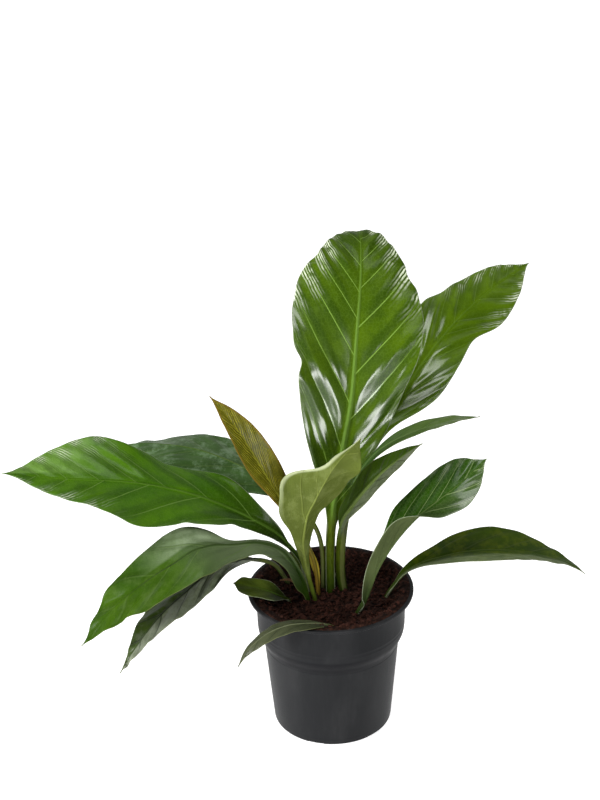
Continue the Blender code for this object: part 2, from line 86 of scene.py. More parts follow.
class Wire:
    """One output of a material's nodes, so that shader maths reads as plain expressions."""

    def __init__(self, tree, socket=None):
        self.tree = tree
        self.socket = socket

    def node(self, kind, settings, sockets, out=0):
        """The output of a new node: its settings first, then its sockets' values or links."""
        new = self.tree.nodes.new("ShaderNode" + kind)
        for name, value in settings.items():
            if name == "stops":
                ramp = new.color_ramp.elements
                while len(ramp) < len(value):
                    ramp.new(0.5)
                for stop, (place, color) in zip(ramp, value):
                    stop.position = place
                    stop.color = (*color, 1.0)
            else:
                setattr(new, name, value)
        for name, value in sockets.items():
            if isinstance(value, Wire):
                self.tree.links.new(value.socket, new.inputs[name])
            else:
                new.inputs[name].default_value = value
        return Wire(self.tree, new.outputs[out])

    def math(self, operation, *values):
        """A sum on numbers or wires."""
        return self.node("Math", {"operation": operation}, dict(enumerate(values)))

    def __add__(self, other):
        return self.math("ADD", self, other)

    __radd__ = __add__

    def __sub__(self, other):
        return self.math("SUBTRACT", self, other)

    def __rsub__(self, other):
        return self.math("SUBTRACT", other, self)

    def __mul__(self, other):
        return self.math("MULTIPLY", self, other)

    __rmul__ = __mul__

    def __abs__(self):
        return self.math("ABSOLUTE", self)

    def __gt__(self, other):
        return self.math("GREATER_THAN", self, other)

    def sine(self):
        return self.math("SINE", self)

    def nearest(self):
        """The distance to the nearest whole number, from 0 to 0.5."""
        return abs(self - self.math("ROUND", self))

    def ramp(self, low, high, start=0.0, end=1.0):
        """Rises smoothly from start to end as the value goes from low to high."""
        return self.node("MapRange", {"interpolation_type": "SMOOTHSTEP"},
                         {0: self, 1: low, 2: high, 3: start, 4: end})

    def paint(self, first, second):
        """The first colour where the value is 0 and the second where it is 1."""
        colors = {6: first, 7: second}
        for socket, color in colors.items():
            colors[socket] = color if isinstance(color, Wire) else (*color, 1.0)
        return self.node("Mix", {"data_type": "RGBA"}, {0: self, **colors}, out=2)

    def noise(self, scale, detail, roughness):
        """Smooth noise at this place, from 0 to 1, with `scale` lumps a metre."""
        return self.node("TexNoise", {}, {"Vector": self, "Scale": scale, "Detail": detail,
                                          "Roughness": roughness})

    def stretched(self, x, y, z):
        """This place, with each of its three numbers times its own."""
        return self.node("VectorMath", {"operation": "MULTIPLY"}, {0: self, 1: (x, y, z)})

    def parts(self):
        """The three numbers of a place or an attribute."""
        return [self.node("SeparateXYZ", {}, {0: self}, out=k) for k in range(3)]


def new_material(name):
    """A node material: itself, its first wire and its shader."""
    mat = bpy.data.materials.new(name)
    mat.use_nodes = True
    return mat, Wire(mat.node_tree), mat.node_tree.nodes["Principled BSDF"]


def set_shader(wire, shader, bump=None, **looks):
    """Sets the shader's sockets to numbers, colours or wires; bump is a height in millimetres."""
    for words, value in looks.items():
        socket = shader.inputs[words.replace("_", " ").title().replace("Ior", "IOR")]
        if isinstance(value, Wire):
            wire.tree.links.new(value.socket, socket)
        else:
            socket.default_value = (*value, 1.0) if isinstance(value, tuple) else value
    if bump is not None:
        normal = wire.node("Bump", {}, {"Strength": 1.0, "Distance": MM, "Height": bump})
        wire.tree.links.new(normal.socket, shader.inputs["Normal"])


def new_piece(name, points, faces, mat, attributes=None):
    """A smooth-shaded mesh object whose origin is the world's, from points in millimetres."""
    mesh = bpy.data.meshes.new(name)
    mesh.from_pydata((np.asarray(points) * MM).tolist(), [], faces)
    mesh.polygons.foreach_set("use_smooth", [True] * len(mesh.polygons))
    mesh.materials.append(mat)
    for words, values in (attributes or {}).items():
        layer = mesh.attributes.new(words, "FLOAT_VECTOR", "POINT")
        layer.data.foreach_set("vector", np.asarray(values, np.float32).ravel())
    piece = bpy.data.objects.new(name, mesh)
    bpy.context.scene.collection.objects.link(piece)
    return piece


def ring_faces(rings, sides):
    """Quads between rings of `sides` points, each closed round, in the order low, next, high."""
    low = np.arange(rings - 1)[:, None] * sides
    k = np.arange(sides)[None]
    after = (k + 1) % sides
    return np.stack([low + k, low + after, low + sides + after, low + sides + k],
                    -1).reshape(-1, 4).tolist()


def closed_faces(rings, sides):
    """Quads between rings, and a fan at each end round a point of its own after all the rings."""
    k = np.arange(sides)
    after = (k + 1) % sides
    count, last = rings * sides, (rings - 1) * sides
    return (ring_faces(rings, sides) + np.stack([0 * k + count, after, k], -1).tolist()
            + np.stack([0 * k + count + 1, last + k, last + after], -1).tolist())


def joined(shapes):
    """One list of points and one of faces from shapes that each have their own."""
    points, faces, start = [], [], 0
    for own_points, own_faces in shapes:
        faces += [[i + start for i in face] for face in own_faces]
        points.append(own_points)
        start += len(own_points)
    return np.vstack(points), faces


def rounded(corners):
    """A profile of (radius, height, rounding) corners, each cut back by its rounding and bridged.

    The bridge is the quadratic curve (1-s)^2 A + 2 s (1-s) B + s^2 C from one side of corner B to
    the other.
    """
    c = np.array(corners, float)
    path = [c[0, :2]]
    for before, here, after in zip(c[:-2], c[1:-1], c[2:]):
        if here[2] == 0:
            path.append(here[:2])
            continue
        ends = [here[:2] + here[2] * (other[:2] - here[:2]) / np.linalg.norm(other[:2] - here[:2])
                for other in (before, after)]
        s = np.linspace(0, 1, BRIDGE_POINTS)[:, None]
        path.extend((1 - s) ** 2 * ends[0] + 2 * s * (1 - s) * here[:2] + s * s * ends[1])
    path.append(c[-1, :2])
    return np.array(path)


def turned(profile, sides):
    """Points and faces of a closed body: the profile of (radius, height), turned about Z.

    Its first and last points lie on the axis and become the centres of two round faces.
    """
    turn = 2 * np.pi * np.arange(sides) / sides
    inner = profile[1:-1]
    rings = np.stack([inner[:, :1] * np.cos(turn), inner[:, :1] * np.sin(turn),
                      np.repeat(inner[:, 1:], sides, axis=1)], -1)
    points = np.vstack([rings.reshape(-1, 3), (0, 0, profile[0, 1]), (0, 0, profile[-1, 1])])
    return points, closed_faces(len(inner), sides)


def box_shape(centre, size, heading):
    """Points and faces of a box turned about Z by a heading in radians."""
    corners = np.array([(x, y, z) for z in (-0.5, 0.5)
                        for x, y in ((-0.5, -0.5), (0.5, -0.5), (0.5, 0.5), (-0.5, 0.5))]) * size
    c, s = np.cos(heading), np.sin(heading)
    turn = np.array([[c, s, 0], [-s, c, 0], [0, 0, 1]])
    faces = [[3, 2, 1, 0], [4, 5, 6, 7], [0, 1, 5, 4], [1, 2, 6, 5], [2, 3, 7, 6], [3, 0, 4, 7]]
    return corners @ turn + centre, faces


def mould_line(z):
    """A thin raised bead round the collar or the wall at a height, as profile corners."""
    on_wall = z < WALL_TOP[1]
    (r0, z0), (r1, z1) = (((FOOT_R, WALL_FOOT_Z), WALL_TOP) if on_wall
                          else (COLLAR_FOOT, (COLLAR_R, LIP_Z)))
    r = r0 + (r1 - r0) * (z - z0) / (z1 - z0)
    return [(r, z - MOULD_LINE_BASE, 0), (r + MOULD_LINE_H, z - MOULD_LINE_TOP, 0),
            (r + MOULD_LINE_H, z + MOULD_LINE_TOP, 0), (r, z + MOULD_LINE_BASE, 0)]


inner_foot = FOOT_R - WALL_T
lip_low = LIP_Z - LIP_T
pot_profile = rounded([
    (0, 0, 0), (CAP_R, 0, 0), (FOOT_R, 0, FOOT_ROUND), *mould_line(MOULD_LINES[2]),
    (*WALL_TOP, STEP_ROUND), (*COLLAR_FOOT, STEP_ROUND), *mould_line(MOULD_LINES[1]),
    *mould_line(MOULD_LINES[0]), (COLLAR_R, lip_low, LIP_ROUND[0]), (LIP_R, lip_low, LIP_ROUND[0]),
    (LIP_R, LIP_Z, LIP_ROUND[1]), (COLLAR_R - WALL_T, LIP_Z, LIP_ROUND[2]),
    (COLLAR_FOOT[0] - WALL_T, COLLAR_FOOT[1], INSIDE_ROUND),
    (WALL_TOP[0] - WALL_T, WALL_TOP[1], INSIDE_ROUND),
    (inner_foot, FLOOR_T, INSIDE_ROUND), (CAP_R, FLOOR_T, 0), (0, FLOOR_T, 0)])

plastic, wire, shader = new_material("pot_plastic")
spot = wire.node("TexCoord", {}, {}, out="Object")
dust = spot.stretched(1, 1, 0.35).noise(26, 5, 0.62)
streak = spot.stretched(9, 9, 0.5).noise(34, 3, 0.55)
grain = spot.noise(2600, 2, 0.5)
height = spot.parts()[2]
worn_rim = height.ramp((LIP_Z - 1.5) * MM, LIP_Z * MM) * dust.ramp(0.35, 0.7)
# A painted shade: the plastic is darkened round the step under the collar, in the SHADED tone.
step_shade = (height.ramp((WALL_TOP[1] - 6) * MM, (WALL_TOP[1] + 2) * MM)
           * height.ramp((COLLAR_FOOT[1] + 5) * MM, (COLLAR_FOOT[1] + 1) * MM))
dust_amount = dust.ramp(0.42, 0.78) * 0.5 + streak.ramp(0.45, 0.8) * 0.12 + worn_rim * 0.4
pot_color = (step_shade * 0.8).paint(dust_amount.paint(PLASTIC, DUSTY), SHADED)
set_shader(wire, shader, base_color=pot_color, roughness=0.40 + dust_amount * 0.2,
           specular_ior_level=0.05, bump=grain * 0.035 + streak * 0.05)

pot = new_piece("pot_shell", *turned(pot_profile, POT_SIDES), plastic)
hole, hole_faces = turned(np.array(DRILL), HOLE_SIDES)
cutters = []
for k in range(DRAIN_COUNT):
    turn = 2 * np.pi * (k + 0.5) / DRAIN_COUNT
    at = (DRAIN_RING_R * np.cos(turn), DRAIN_RING_R * np.sin(turn), 0)
    cutters.append((hole + at, hole_faces))
for k in range(NOTCH_COUNT):
    turn = 2 * np.pi * (k + NOTCH_TURN) / NOTCH_COUNT
    reach = FOOT_R - NOTCH[0] / 2 + NOTCH_OUT
    cutters.append(box_shape((reach * np.cos(turn), reach * np.sin(turn), 0), NOTCH, turn))
cutter = new_piece("pot_cutter", *joined(cutters), plastic)
cut = pot.modifiers.new("holes", "BOOLEAN")
cut.operation = "DIFFERENCE"
cut.solver = "EXACT"
cut.object = cutter
depsgraph = bpy.context.evaluated_depsgraph_get()
pot_mesh = bpy.data.meshes.new_from_object(pot.evaluated_get(depsgraph))
pot.modifiers.clear()
pot.data = pot_mesh
pot_mesh.set_sharp_from_angle(angle=np.radians(SHARP_ANGLE))
bpy.data.objects.remove(cutter, do_unlink=True)
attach(pot, "root")
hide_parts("pot")


# The soil: dark red-brown peat and coir that fills the pot. Its middle lies a finger's width below
# the lip, and its edge is banked up on to the lip. It is loose, with bark chips and fibres on it.
SOIL_Z = 161.0
SOIL_EDGE_Z = 159.0
SOIL_RISE = 3.0
SOIL_BUMP = 0.9
SOIL_BANK = 12.3
SOIL_BANK_FROM = 0.80
SOIL_BANK_TO = 1.02
SOIL_EDGE_R = 91.2
SOIL_SIDE = ((0, 2.8), (64.0, 2.8), (66.6, 5.0), (75.9, 106.2), (82.3, 118.2), (83.9, 156.0),
             (84.2, 169.6), (SOIL_EDGE_R, 170.1))
SOIL_RINGS = 112
SOIL_SIDES = 400
CRUMB_CELLS = 128
SCATTER_R = 85.0
CHIP_COUNT = 900
CHIP_SIDES = 6
CHIP_PROFILE = ((0, -0.5), (0.36, -0.42), (0.5, 0.05), (0.38, 0.4), (0, 0.5))
FIBRE_COUNT = 260
FIBRE_RINGS = 7
FIBRE_SIDES = 4
PEAT = ((0.36, (0.0025, 0.0010, 0.0006)), (0.50, (0.0105, 0.0040, 0.0025)),
        (0.66, (0.034, 0.0130, 0.0080)))
SPECKS = (0.060, 0.026, 0.016)
DRY_BARK = (0.036, 0.0125, 0.0082)


def smooth(value, low, high):
    """Rises smoothly from 0 to 1 as the value goes from low to high."""
    s = np.clip((value - low) / (high - low), 0, 1)
    return s * s * (3 - 2 * s)


def crumbs(x, y, size, seed):
    """Noise from -1 to 1: random heights on a square lattice, joined smoothly both ways."""
    table = np.random.default_rng(seed).uniform(-1, 1, (CRUMB_CELLS, CRUMB_CELLS))
    u, v = x / size + CRUMB_CELLS // 2, y / size + CRUMB_CELLS // 2
    i, j = np.floor(u).astype(int), np.floor(v).astype(int)
    f, g = smooth(u - i, 0, 1), smooth(v - j, 0, 1)
    i, j = i % (CRUMB_CELLS - 1), j % (CRUMB_CELLS - 1)
    return ((table[i, j] * (1 - f) + table[i + 1, j] * f) * (1 - g)
            + (table[i, j + 1] * (1 - f) + table[i + 1, j + 1] * f) * g)


def soil_height(x, y):
    """A low mound with wide lumps and crumbs of four sizes on it, banked up on to the lip.

    The mound falls with the square of the share of the pot's inner radius, and the lumps are sines
    of x and y that fade out at the wall, as most of the crumbs' height does.
    """
    share = np.hypot(x, y) / COLLAR_FOOT[0]
    lumps = (np.sin(0.11 * x + 0.07 * y) + np.sin(0.13 * y - 0.05 * x + 2)
             + np.sin(0.23 * x + 1) * np.sin(0.21 * y))
    fade = np.clip(7 * (0.97 - share), 0, 1)
    crumb = (1.3 * crumbs(x, y, 9.0, 1) + 1.5 * np.abs(crumbs(x, y, 4.6, 2))
             + 1.1 * crumbs(x, y, 2.6, 3) + 0.5 * crumbs(x, y, 1.4, 4))
    return (SOIL_EDGE_Z + SOIL_RISE * (1 - share ** 2) + SOIL_BUMP * lumps * fade
            + crumb * (0.35 + 0.65 * fade) - 0.6
            + SOIL_BANK * smooth(share, SOIL_BANK_FROM, SOIL_BANK_TO))


soil_top = [(SOIL_EDGE_R * s, SOIL_Z) for s in 0.997 - (np.arange(SOIL_RINGS) / SOIL_RINGS) ** 1.1]
soil_points, soil_faces = turned(np.array([*SOIL_SIDE, *soil_top, (0, SOIL_Z)]), SOIL_SIDES)
crown = soil_points[:, 2] == SOIL_Z
soil_points[crown, 2] = soil_height(soil_points[crown, 0], soil_points[crown, 1])

draw = np.random.default_rng(11)


def scattered(shape, sizes, tilt):
    """Copies of a shape at random places on the soil: each scaled, tilted and turned about Z."""
    count = len(sizes)
    r = SCATTER_R * np.sqrt(draw.uniform(0, 1, count))
    around = draw.uniform(0, 2 * np.pi, count)
    x, y = r * np.cos(around), r * np.sin(around)
    turn, lean = draw.uniform(0, 2 * np.pi, count), draw.normal(0, tilt, count)
    c, s, cl, sl = np.cos(turn), np.sin(turn), np.cos(lean), np.sin(lean)
    zero = 0 * c
    turns = np.stack([c * cl, -s, c * sl, s * cl, c, s * sl, -sl, zero, cl], -1)
    local = shape[None] * sizes[:, None] * (1 + 0.25 * draw.uniform(-1, 1, (count, len(shape), 1)))
    placed = np.einsum("nij,npj->npi", turns.reshape(-1, 3, 3), local)
    z = soil_height(x, y) + 0.35 * sizes[:, 2]
    return placed + np.stack([x, y, z], -1)[:, None]


chip_shape, chip_faces = turned(np.array(CHIP_PROFILE), CHIP_SIDES)
chip_sizes = np.stack([draw.gamma(4, 1.25, CHIP_COUNT), draw.gamma(4, 0.7, CHIP_COUNT),
                       draw.gamma(4, 0.3, CHIP_COUNT)], -1) + 0.8
chips = scattered(chip_shape, chip_sizes, 0.5)
bend = np.linspace(-0.5, 0.5, FIBRE_RINGS)
fibre_path = np.stack([bend, 0.5 * bend ** 2 + 0.12 * np.sin(7 * bend), 0.3 - 1.1 * bend ** 2], -1)
corner = 2 * np.pi * np.arange(FIBRE_SIDES) / FIBRE_SIDES
fibre_shape = (fibre_path[:, None] + np.stack([0 * corner, 0.022 * np.cos(corner),
                                               0.10 * np.sin(corner)], -1)[None]).reshape(-1, 3)
fibre_end = np.arange(FIBRE_SIDES)
fibre_faces = ring_faces(FIBRE_RINGS, FIBRE_SIDES) + [
    fibre_end[::-1].tolist(), (fibre_end + (FIBRE_RINGS - 1) * FIBRE_SIDES).tolist()]
fibre_sizes = np.stack([draw.uniform(6, 20, FIBRE_COUNT), draw.uniform(5, 14, FIBRE_COUNT),
                        draw.uniform(2.5, 4.5, FIBRE_COUNT)], -1)
fibres = scattered(fibre_shape, fibre_sizes, 0.3)
kind = np.concatenate([np.zeros(len(soil_points)),
                       np.repeat(draw.uniform(0.2, 1, CHIP_COUNT), len(chip_shape)),
                       np.repeat(draw.uniform(0.4, 1, FIBRE_COUNT), len(fibre_shape))])

peat, wire, shader = new_material("soil_peat")
spot = wire.node("TexCoord", {}, {}, out="Object")
clod = spot.noise(160, 5, 0.65)
speck = spot.noise(900, 3, 0.6)
loose = wire.node("Attribute", {"attribute_name": "loose"}, {}, out="Vector").parts()[0]
peat_color = clod.node("ValToRGB", {"stops": PEAT}, {0: clod})
peat_color = (speck.ramp(0.60, 0.74) * 0.4).paint(peat_color, SPECKS)
peat_color = (loose.ramp(0.15, 1.0) * 0.85).paint(peat_color, DRY_BARK)
set_shader(wire, shader, base_color=peat_color, roughness=0.92, specular_ior_level=0.08,
           bump=speck * 0.5 + clod * 0.6)
shapes = ([(soil_points, soil_faces)] + [(chip, chip_faces) for chip in chips]
          + [(fibre, fibre_faces) for fibre in fibres])
soil = new_piece("soil_bed", *joined(shapes), peat, {"loose": np.stack([kind, kind, kind], -1)})
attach(soil, "root")
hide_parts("soil")


# The big upright leaf: one glossy, leathery blade on a stout stalk that leans back from the pot's
# middle. A pale midrib stands up along it, and steep side veins sink between swollen panels.
STALK_DEPTH = 22.0
BLADE_T = 0.7
MARGIN_R = 0.6
RIB_MIN = 0.6
RIB_TAPER = 0.85
RIB_WIDTH = 0.62
RIB_ABOVE = 0.62
RIB_BELOW = 0.95
GROOVE_DEPTH = 0.12
GROOVE_AT = 1.5
GROOVE_WIDTH = 0.45
RIB_COLUMNS = 6
RIB_REACH = 1.7
SPREAD_REACH = 1.5
RUN_POINTS = 60
EVEN_POINTS = 400
JOINTS_OUTSIDE = 9
WAVE_GROWTH = 1.6
WAVE_FADE = 0.7
RUFFLE_GROWTH = 4
LOBE_MEAN = 0.75
SLOPE_FOOT = 1.25
SLOPE_FALL = 0.55
SLOPE_BEND = 0.2
SWELL_SHARP = 0.8
SWELL_MEAN = 0.62
CRUMPLE_WIDE = 0.95
CRUMPLE_TIGHT = 0.36
TIGHT_SHARE = 0.2
FULL_TURN = 6.2832
ALL_ALONG = (0, 0.1)

# What a leaf has unless it says otherwise, in millimetres, degrees and shares. A nick is (side,
# place, depth, reach). Side veins have joints, or else a pitch, and a slope and a line's width,
# and ripple and ripples are the height and number of the small wrinkles between two of them.
PLAIN_LEAF = dict(roll=(0,), curl=(0,), nicks=(), joints=None, pitch=40, slope=1.8, line=0.05,
                  ripple=0.1, ripples=8, lobe=0, ruffle=0.3, crumple=0.6)

# What a skin has unless it says otherwise. A mottle is (tone, amount), a foot is (tone, shares
# along where it fades), and a half is (side, tone, amount, share across where it starts, shares
# along where it comes and goes). The painted shadow near the soil, which darkens the stalks'
# foot, is (amount, height in metres).
PLAIN_LOOK = dict(rim_tone=0.45, rim_wide=1.0, rim_from=-1.0, rim_side=None, vein_tone=0.6,
                  rib_tone=0.95, vein_shade=0.0, wrinkle_sheen=0.0, strands=0.0, mottle=None, foot=None,
                  half=None, shadow_near_soil=(0.8, 0.225), sheen=0.12, coat=0.3, coat_rough=0.13,
                  shine=(0.0, 0.01, 1.0, 1.0))


def smooth_steps(values, at):
    """Values at even steps from 0 to 1, joined by a Catmull-Rom curve and read at `at`."""
    v = np.atleast_1d(np.asarray(values, float))
    if len(v) == 1:
        return np.full_like(at, v[0])
    last = len(v) - 1
    x = np.clip(at, 0, 1) * last
    i = np.minimum(x.astype(int), last - 1)
    f = x - i
    v0, v1 = v[i], v[i + 1]
    m0 = (v1 - v[np.maximum(i - 1, 0)]) / 2
    m1 = (v[np.minimum(i + 2, last)] - v0) / 2
    return ((1 + 2 * f) * (1 - f) ** 2 * v0 + f * (1 - f) ** 2 * m0
            + f * f * (3 - 2 * f) * v1 + f * f * (f - 1) * m1)


def spline(points, shares):
    """Points at shares of the length of a centripetal Catmull-Rom curve, tangents and length."""
    p = np.asarray(points, float)
    p = np.vstack([2 * p[0] - p[1], p, 2 * p[-1] - p[-2]])
    knots = np.concatenate([[0], np.cumsum(np.linalg.norm(np.diff(p, axis=0), axis=1) ** 0.5)])
    runs = []
    for i in range(1, len(p) - 2):
        t0, t1, t2, t3 = knots[i - 1:i + 3]
        t = np.linspace(t1, t2, RUN_POINTS, endpoint=(i == len(p) - 3))[:, None]
        a1 = (t1 - t) / (t1 - t0) * p[i - 1] + (t - t0) / (t1 - t0) * p[i]
        a2 = (t2 - t) / (t2 - t1) * p[i] + (t - t1) / (t2 - t1) * p[i + 1]
        a3 = (t3 - t) / (t3 - t2) * p[i + 1] + (t - t2) / (t3 - t2) * p[i + 2]
        b1 = (t2 - t) / (t2 - t0) * a1 + (t - t0) / (t2 - t0) * a2
        b2 = (t3 - t) / (t3 - t1) * a2 + (t - t1) / (t3 - t1) * a3
        runs.append((t2 - t) / (t2 - t1) * b1 + (t - t1) / (t2 - t1) * b2)
    curve = np.vstack(runs)
    length = np.concatenate([[0], np.cumsum(np.linalg.norm(np.diff(curve, axis=0), axis=1))])
    even = np.linspace(0, length[-1], EVEN_POINTS)
    line = np.stack([np.interp(even, length, curve[:, k]) for k in range(3)], -1)
    tangent = np.gradient(line, axis=0)
    tangent /= np.linalg.norm(tangent, axis=1)[:, None]
    at = np.asarray(shares) * length[-1]
    point = np.stack([np.interp(at, even, line[:, k]) for k in range(3)], -1)
    along = np.stack([np.interp(at, even, tangent[:, k]) for k in range(3)], -1)
    return point, along / np.linalg.norm(along, axis=1)[:, None], length[-1]


def leaf_surface(leaf, u, t):
    """Middle surface of a leaf at shares u of its length and t across, left is +1.

    The midrib is a curve in space. At each point of it the two halves leave at the fold angle,
    bend by the curl on the way to the margin, and carry a wave that grows with the distance from
    the midrib. The margin is a little lobed and ruffled, once from each side vein to the next, and
    nicked where the leaf is. The stalk's part is as wide as the stalk.
    """
    turn = np.radians(leaf["heading"])
    out = np.array([np.cos(turn), np.sin(turn), 0.0])
    side = np.array([-np.sin(turn), np.cos(turn), 0.0])
    rows = np.array([(0, 0, 0)] + [(p[0], 0, p[1]) if len(p) == 2 else p for p in leaf["path"]])
    points = ((*leaf["root"], SOIL_Z) + rows[:, :1] * out + rows[:, 1:2] * side
              + rows[:, 2:] * (0, 0, 1))
    start = points[1] - points[0]
    buried = points[0] - STALK_DEPTH * start / np.linalg.norm(start)
    mid, along, length = spline(np.vstack([buried, points]), u)
    across = side - (along @ side)[:, None] * along
    across /= np.linalg.norm(across, axis=1)[:, None]
    up = np.cross(along, across)
    b = np.clip((u - leaf["blade_from"]) / (1 - leaf["blade_from"]), 0, 1)
    roll = np.radians(smooth_steps(leaf["roll"], b))[:, None]
    across, up = (across * np.cos(roll) + up * np.sin(roll),
                  up * np.cos(roll) - across * np.sin(roll))
    rib = np.maximum(leaf["stalk"] * (1 - b) ** RIB_TAPER, RIB_MIN)[:, None]
    is_left = t > 0

    def halves(left, right):
        return np.where(is_left, left[:, None], right[:, None])

    blade = halves(smooth_steps((0, *leaf["left"], 0), b),
                   smooth_steps((0, *leaf["right"], 0), b))
    width = np.sqrt(np.maximum(blade, 0) ** 2 + rib ** 2)
    s = b[:, None] * length * (1 - leaf["blade_from"])
    for sign, place, deep, reach in leaf["nicks"]:
        width = width - deep * np.exp(-((s - place) / reach) ** 2) * (np.sign(t) == sign)
    at_margin = halves(*[vein_phase(leaf, s[:, 0], width[:, k], width[:, k], left)
                         for k, left in ((-1, True), (0, False))])
    ends = smooth(b, 0.04, 0.2)[:, None] * (1 - smooth(b, 0.88, 1.0))[:, None]
    width = width * (1 + leaf["lobe"] * ends * (np.abs(np.sin(np.pi * at_margin)) - LOBE_MEAN))
    spread = np.clip((width / rib - 1) / SPREAD_REACH, 0, 1)
    fold = spread * np.radians(halves(smooth_steps(leaf["fold"], b),
                                      smooth_steps(leaf["fold_right"], b)))
    curl = np.radians(smooth_steps(leaf["curl"], b))[:, None] + 0.001
    a = np.abs(t)
    x = width * (np.sin(fold + curl * a) - np.sin(fold)) / curl
    z = width * (np.cos(fold) - np.cos(fold + curl * a)) / curl
    wave = [w[0] * np.sin(2 * np.pi * (w[1] * b + w[2]))
            for w in (leaf["wave"], leaf["wave_right"])]
    z = z + halves(*wave) * np.sin(np.pi * b)[:, None] ** WAVE_FADE * a ** WAVE_GROWTH
    z = z + leaf["ruffle"] * ends * a ** RUFFLE_GROWTH * np.sin(2 * np.pi * at_margin + 1.0)
    surface = (mid[:, None] + across[:, None] * (x * np.sign(t))[..., None]
               + up[:, None] * z[..., None])
    return surface, b[:, None], s, rib, width, spread


def leaf_columns(leaf, u, half):
    """Places across the leaf: even in angle round the stalk, and close together over the rib.

    On the blade the last but one place is where the margin starts to round off.
    """
    on_stalk = np.sin(np.arange(half + 1) / half * np.pi / 2)
    plain = half - RIB_COLUMNS - 1
    sides = []
    edges = np.tile([-1.0, 1.0], (len(u), 1))
    _, _, _, rib, widths, spreads = leaf_surface(leaf, u, edges)
    for k, sign in enumerate((-1, 1)):
        width, spread = widths[:, k:k + 1], spreads[:, k:k + 1]
        share = rib / width
        over_rib = np.minimum(RIB_REACH * share, 0.55)
        margin = np.minimum(MARGIN_R / width, 0.2 * (1 - share) + 0.02)
        flat = over_rib + (1 - over_rib - margin) * np.arange(1, plain + 1) / plain
        on_blade = np.hstack([over_rib * np.arange(RIB_COLUMNS) / RIB_COLUMNS, over_rib, flat,
                              np.ones_like(share)])
        sides.append(sign * ((1 - spread) * on_stalk + spread * on_blade))
    return np.hstack([sides[0][:, ::-1], sides[1][:, 1:]])


def vein_phase(leaf, s, x, width, left):
    """Grows by one from each side vein to the next, for one half of the blade.

    A side vein leaves the midrib at its joint and rises by its slope for each millimetre across,
    a little more towards the margin and less towards the tip. The phase counts the joints below
    the place where the vein through this point would meet the midrib. Joints that the leaf doesn't
    give are drawn, each about one pitch from the last, and more follow beyond both ends.
    """
    length = s.max()
    slope = leaf["slope" if left else "slope_right"] * (SLOPE_FOOT - SLOPE_FALL * s / length)
    foot = s - slope * x * (1 + SLOPE_BEND * (x / width) ** 2)
    if leaf["joints"]:
        joints = np.array(leaf["joints"][0 if left else 1], float)
    else:
        jitter = np.random.default_rng(leaf["seed"] + 7 * left).uniform(0.7, 1.3, 40)
        joints = np.cumsum(leaf["pitch"] * jitter)
        joints = joints[:max(3, int((joints < length).sum()))]
    first, last = joints[1] - joints[0], joints[-1] - joints[-2]
    joints = np.concatenate([joints[0] - first * np.arange(JOINTS_OUTSIDE, 0, -1), joints,
                             joints[-1] + last * np.arange(1, JOINTS_OUTSIDE)])
    return np.interp(foot, joints, np.arange(len(joints)) - JOINTS_OUTSIDE)


def crumple(u, v, size, seed):
    """Smooth irregular swells from about -1 to 1: nine plane waves of random headings."""
    draw = np.random.default_rng(seed)
    turn, start = draw.uniform(0, 2 * np.pi, (2, 9))
    pace = 2 * np.pi / size * draw.uniform(0.6, 1.4, 9)
    waves = np.sin(pace * (u[..., None] * np.cos(turn) + v[..., None] * np.sin(turn)) + start)
    return waves.sum(-1) / 3


def vein_relief(leaf, phase, b, s, x, width):
    """Height in millimetres of the panels between the side veins, sharpest at the veins.

    It is |sin| of the vein phase with a lean that changes from panel to panel, and a crumple drawn
    out along the veins. It fades at the midrib, at the blade's ends and partly at the margin.
    """
    a = x / width
    swell = np.abs(np.sin(np.pi * phase)) ** SWELL_SHARP - SWELL_MEAN
    lean = (0.25 + 0.2 * np.sin(1.9 * phase)) * np.sin(2 * np.pi * phase)
    size = 1 + 0.4 * np.sin(2.7 * phase + 1.3)
    pitch = leaf["pitch"]
    wide = crumple(phase * pitch, 0.8 * x, CRUMPLE_WIDE * pitch, leaf["seed"])
    tight = crumple(phase * pitch, 0.9 * x, CRUMPLE_TIGHT * pitch, leaf["seed"] + 1)
    fade = (smooth(a, 0.02, 0.26) * (1 - 0.4 * smooth(a, 0.8, 1.0))
            * smooth(b, 0.03, 0.14) * (1 - smooth(b, 0.94, 1.0)))
    relief = leaf["relief"] * (swell * size + lean + leaf["crumple"] * wide
                               + TIGHT_SHARE * leaf["crumple"] * tight)
    return relief * fade


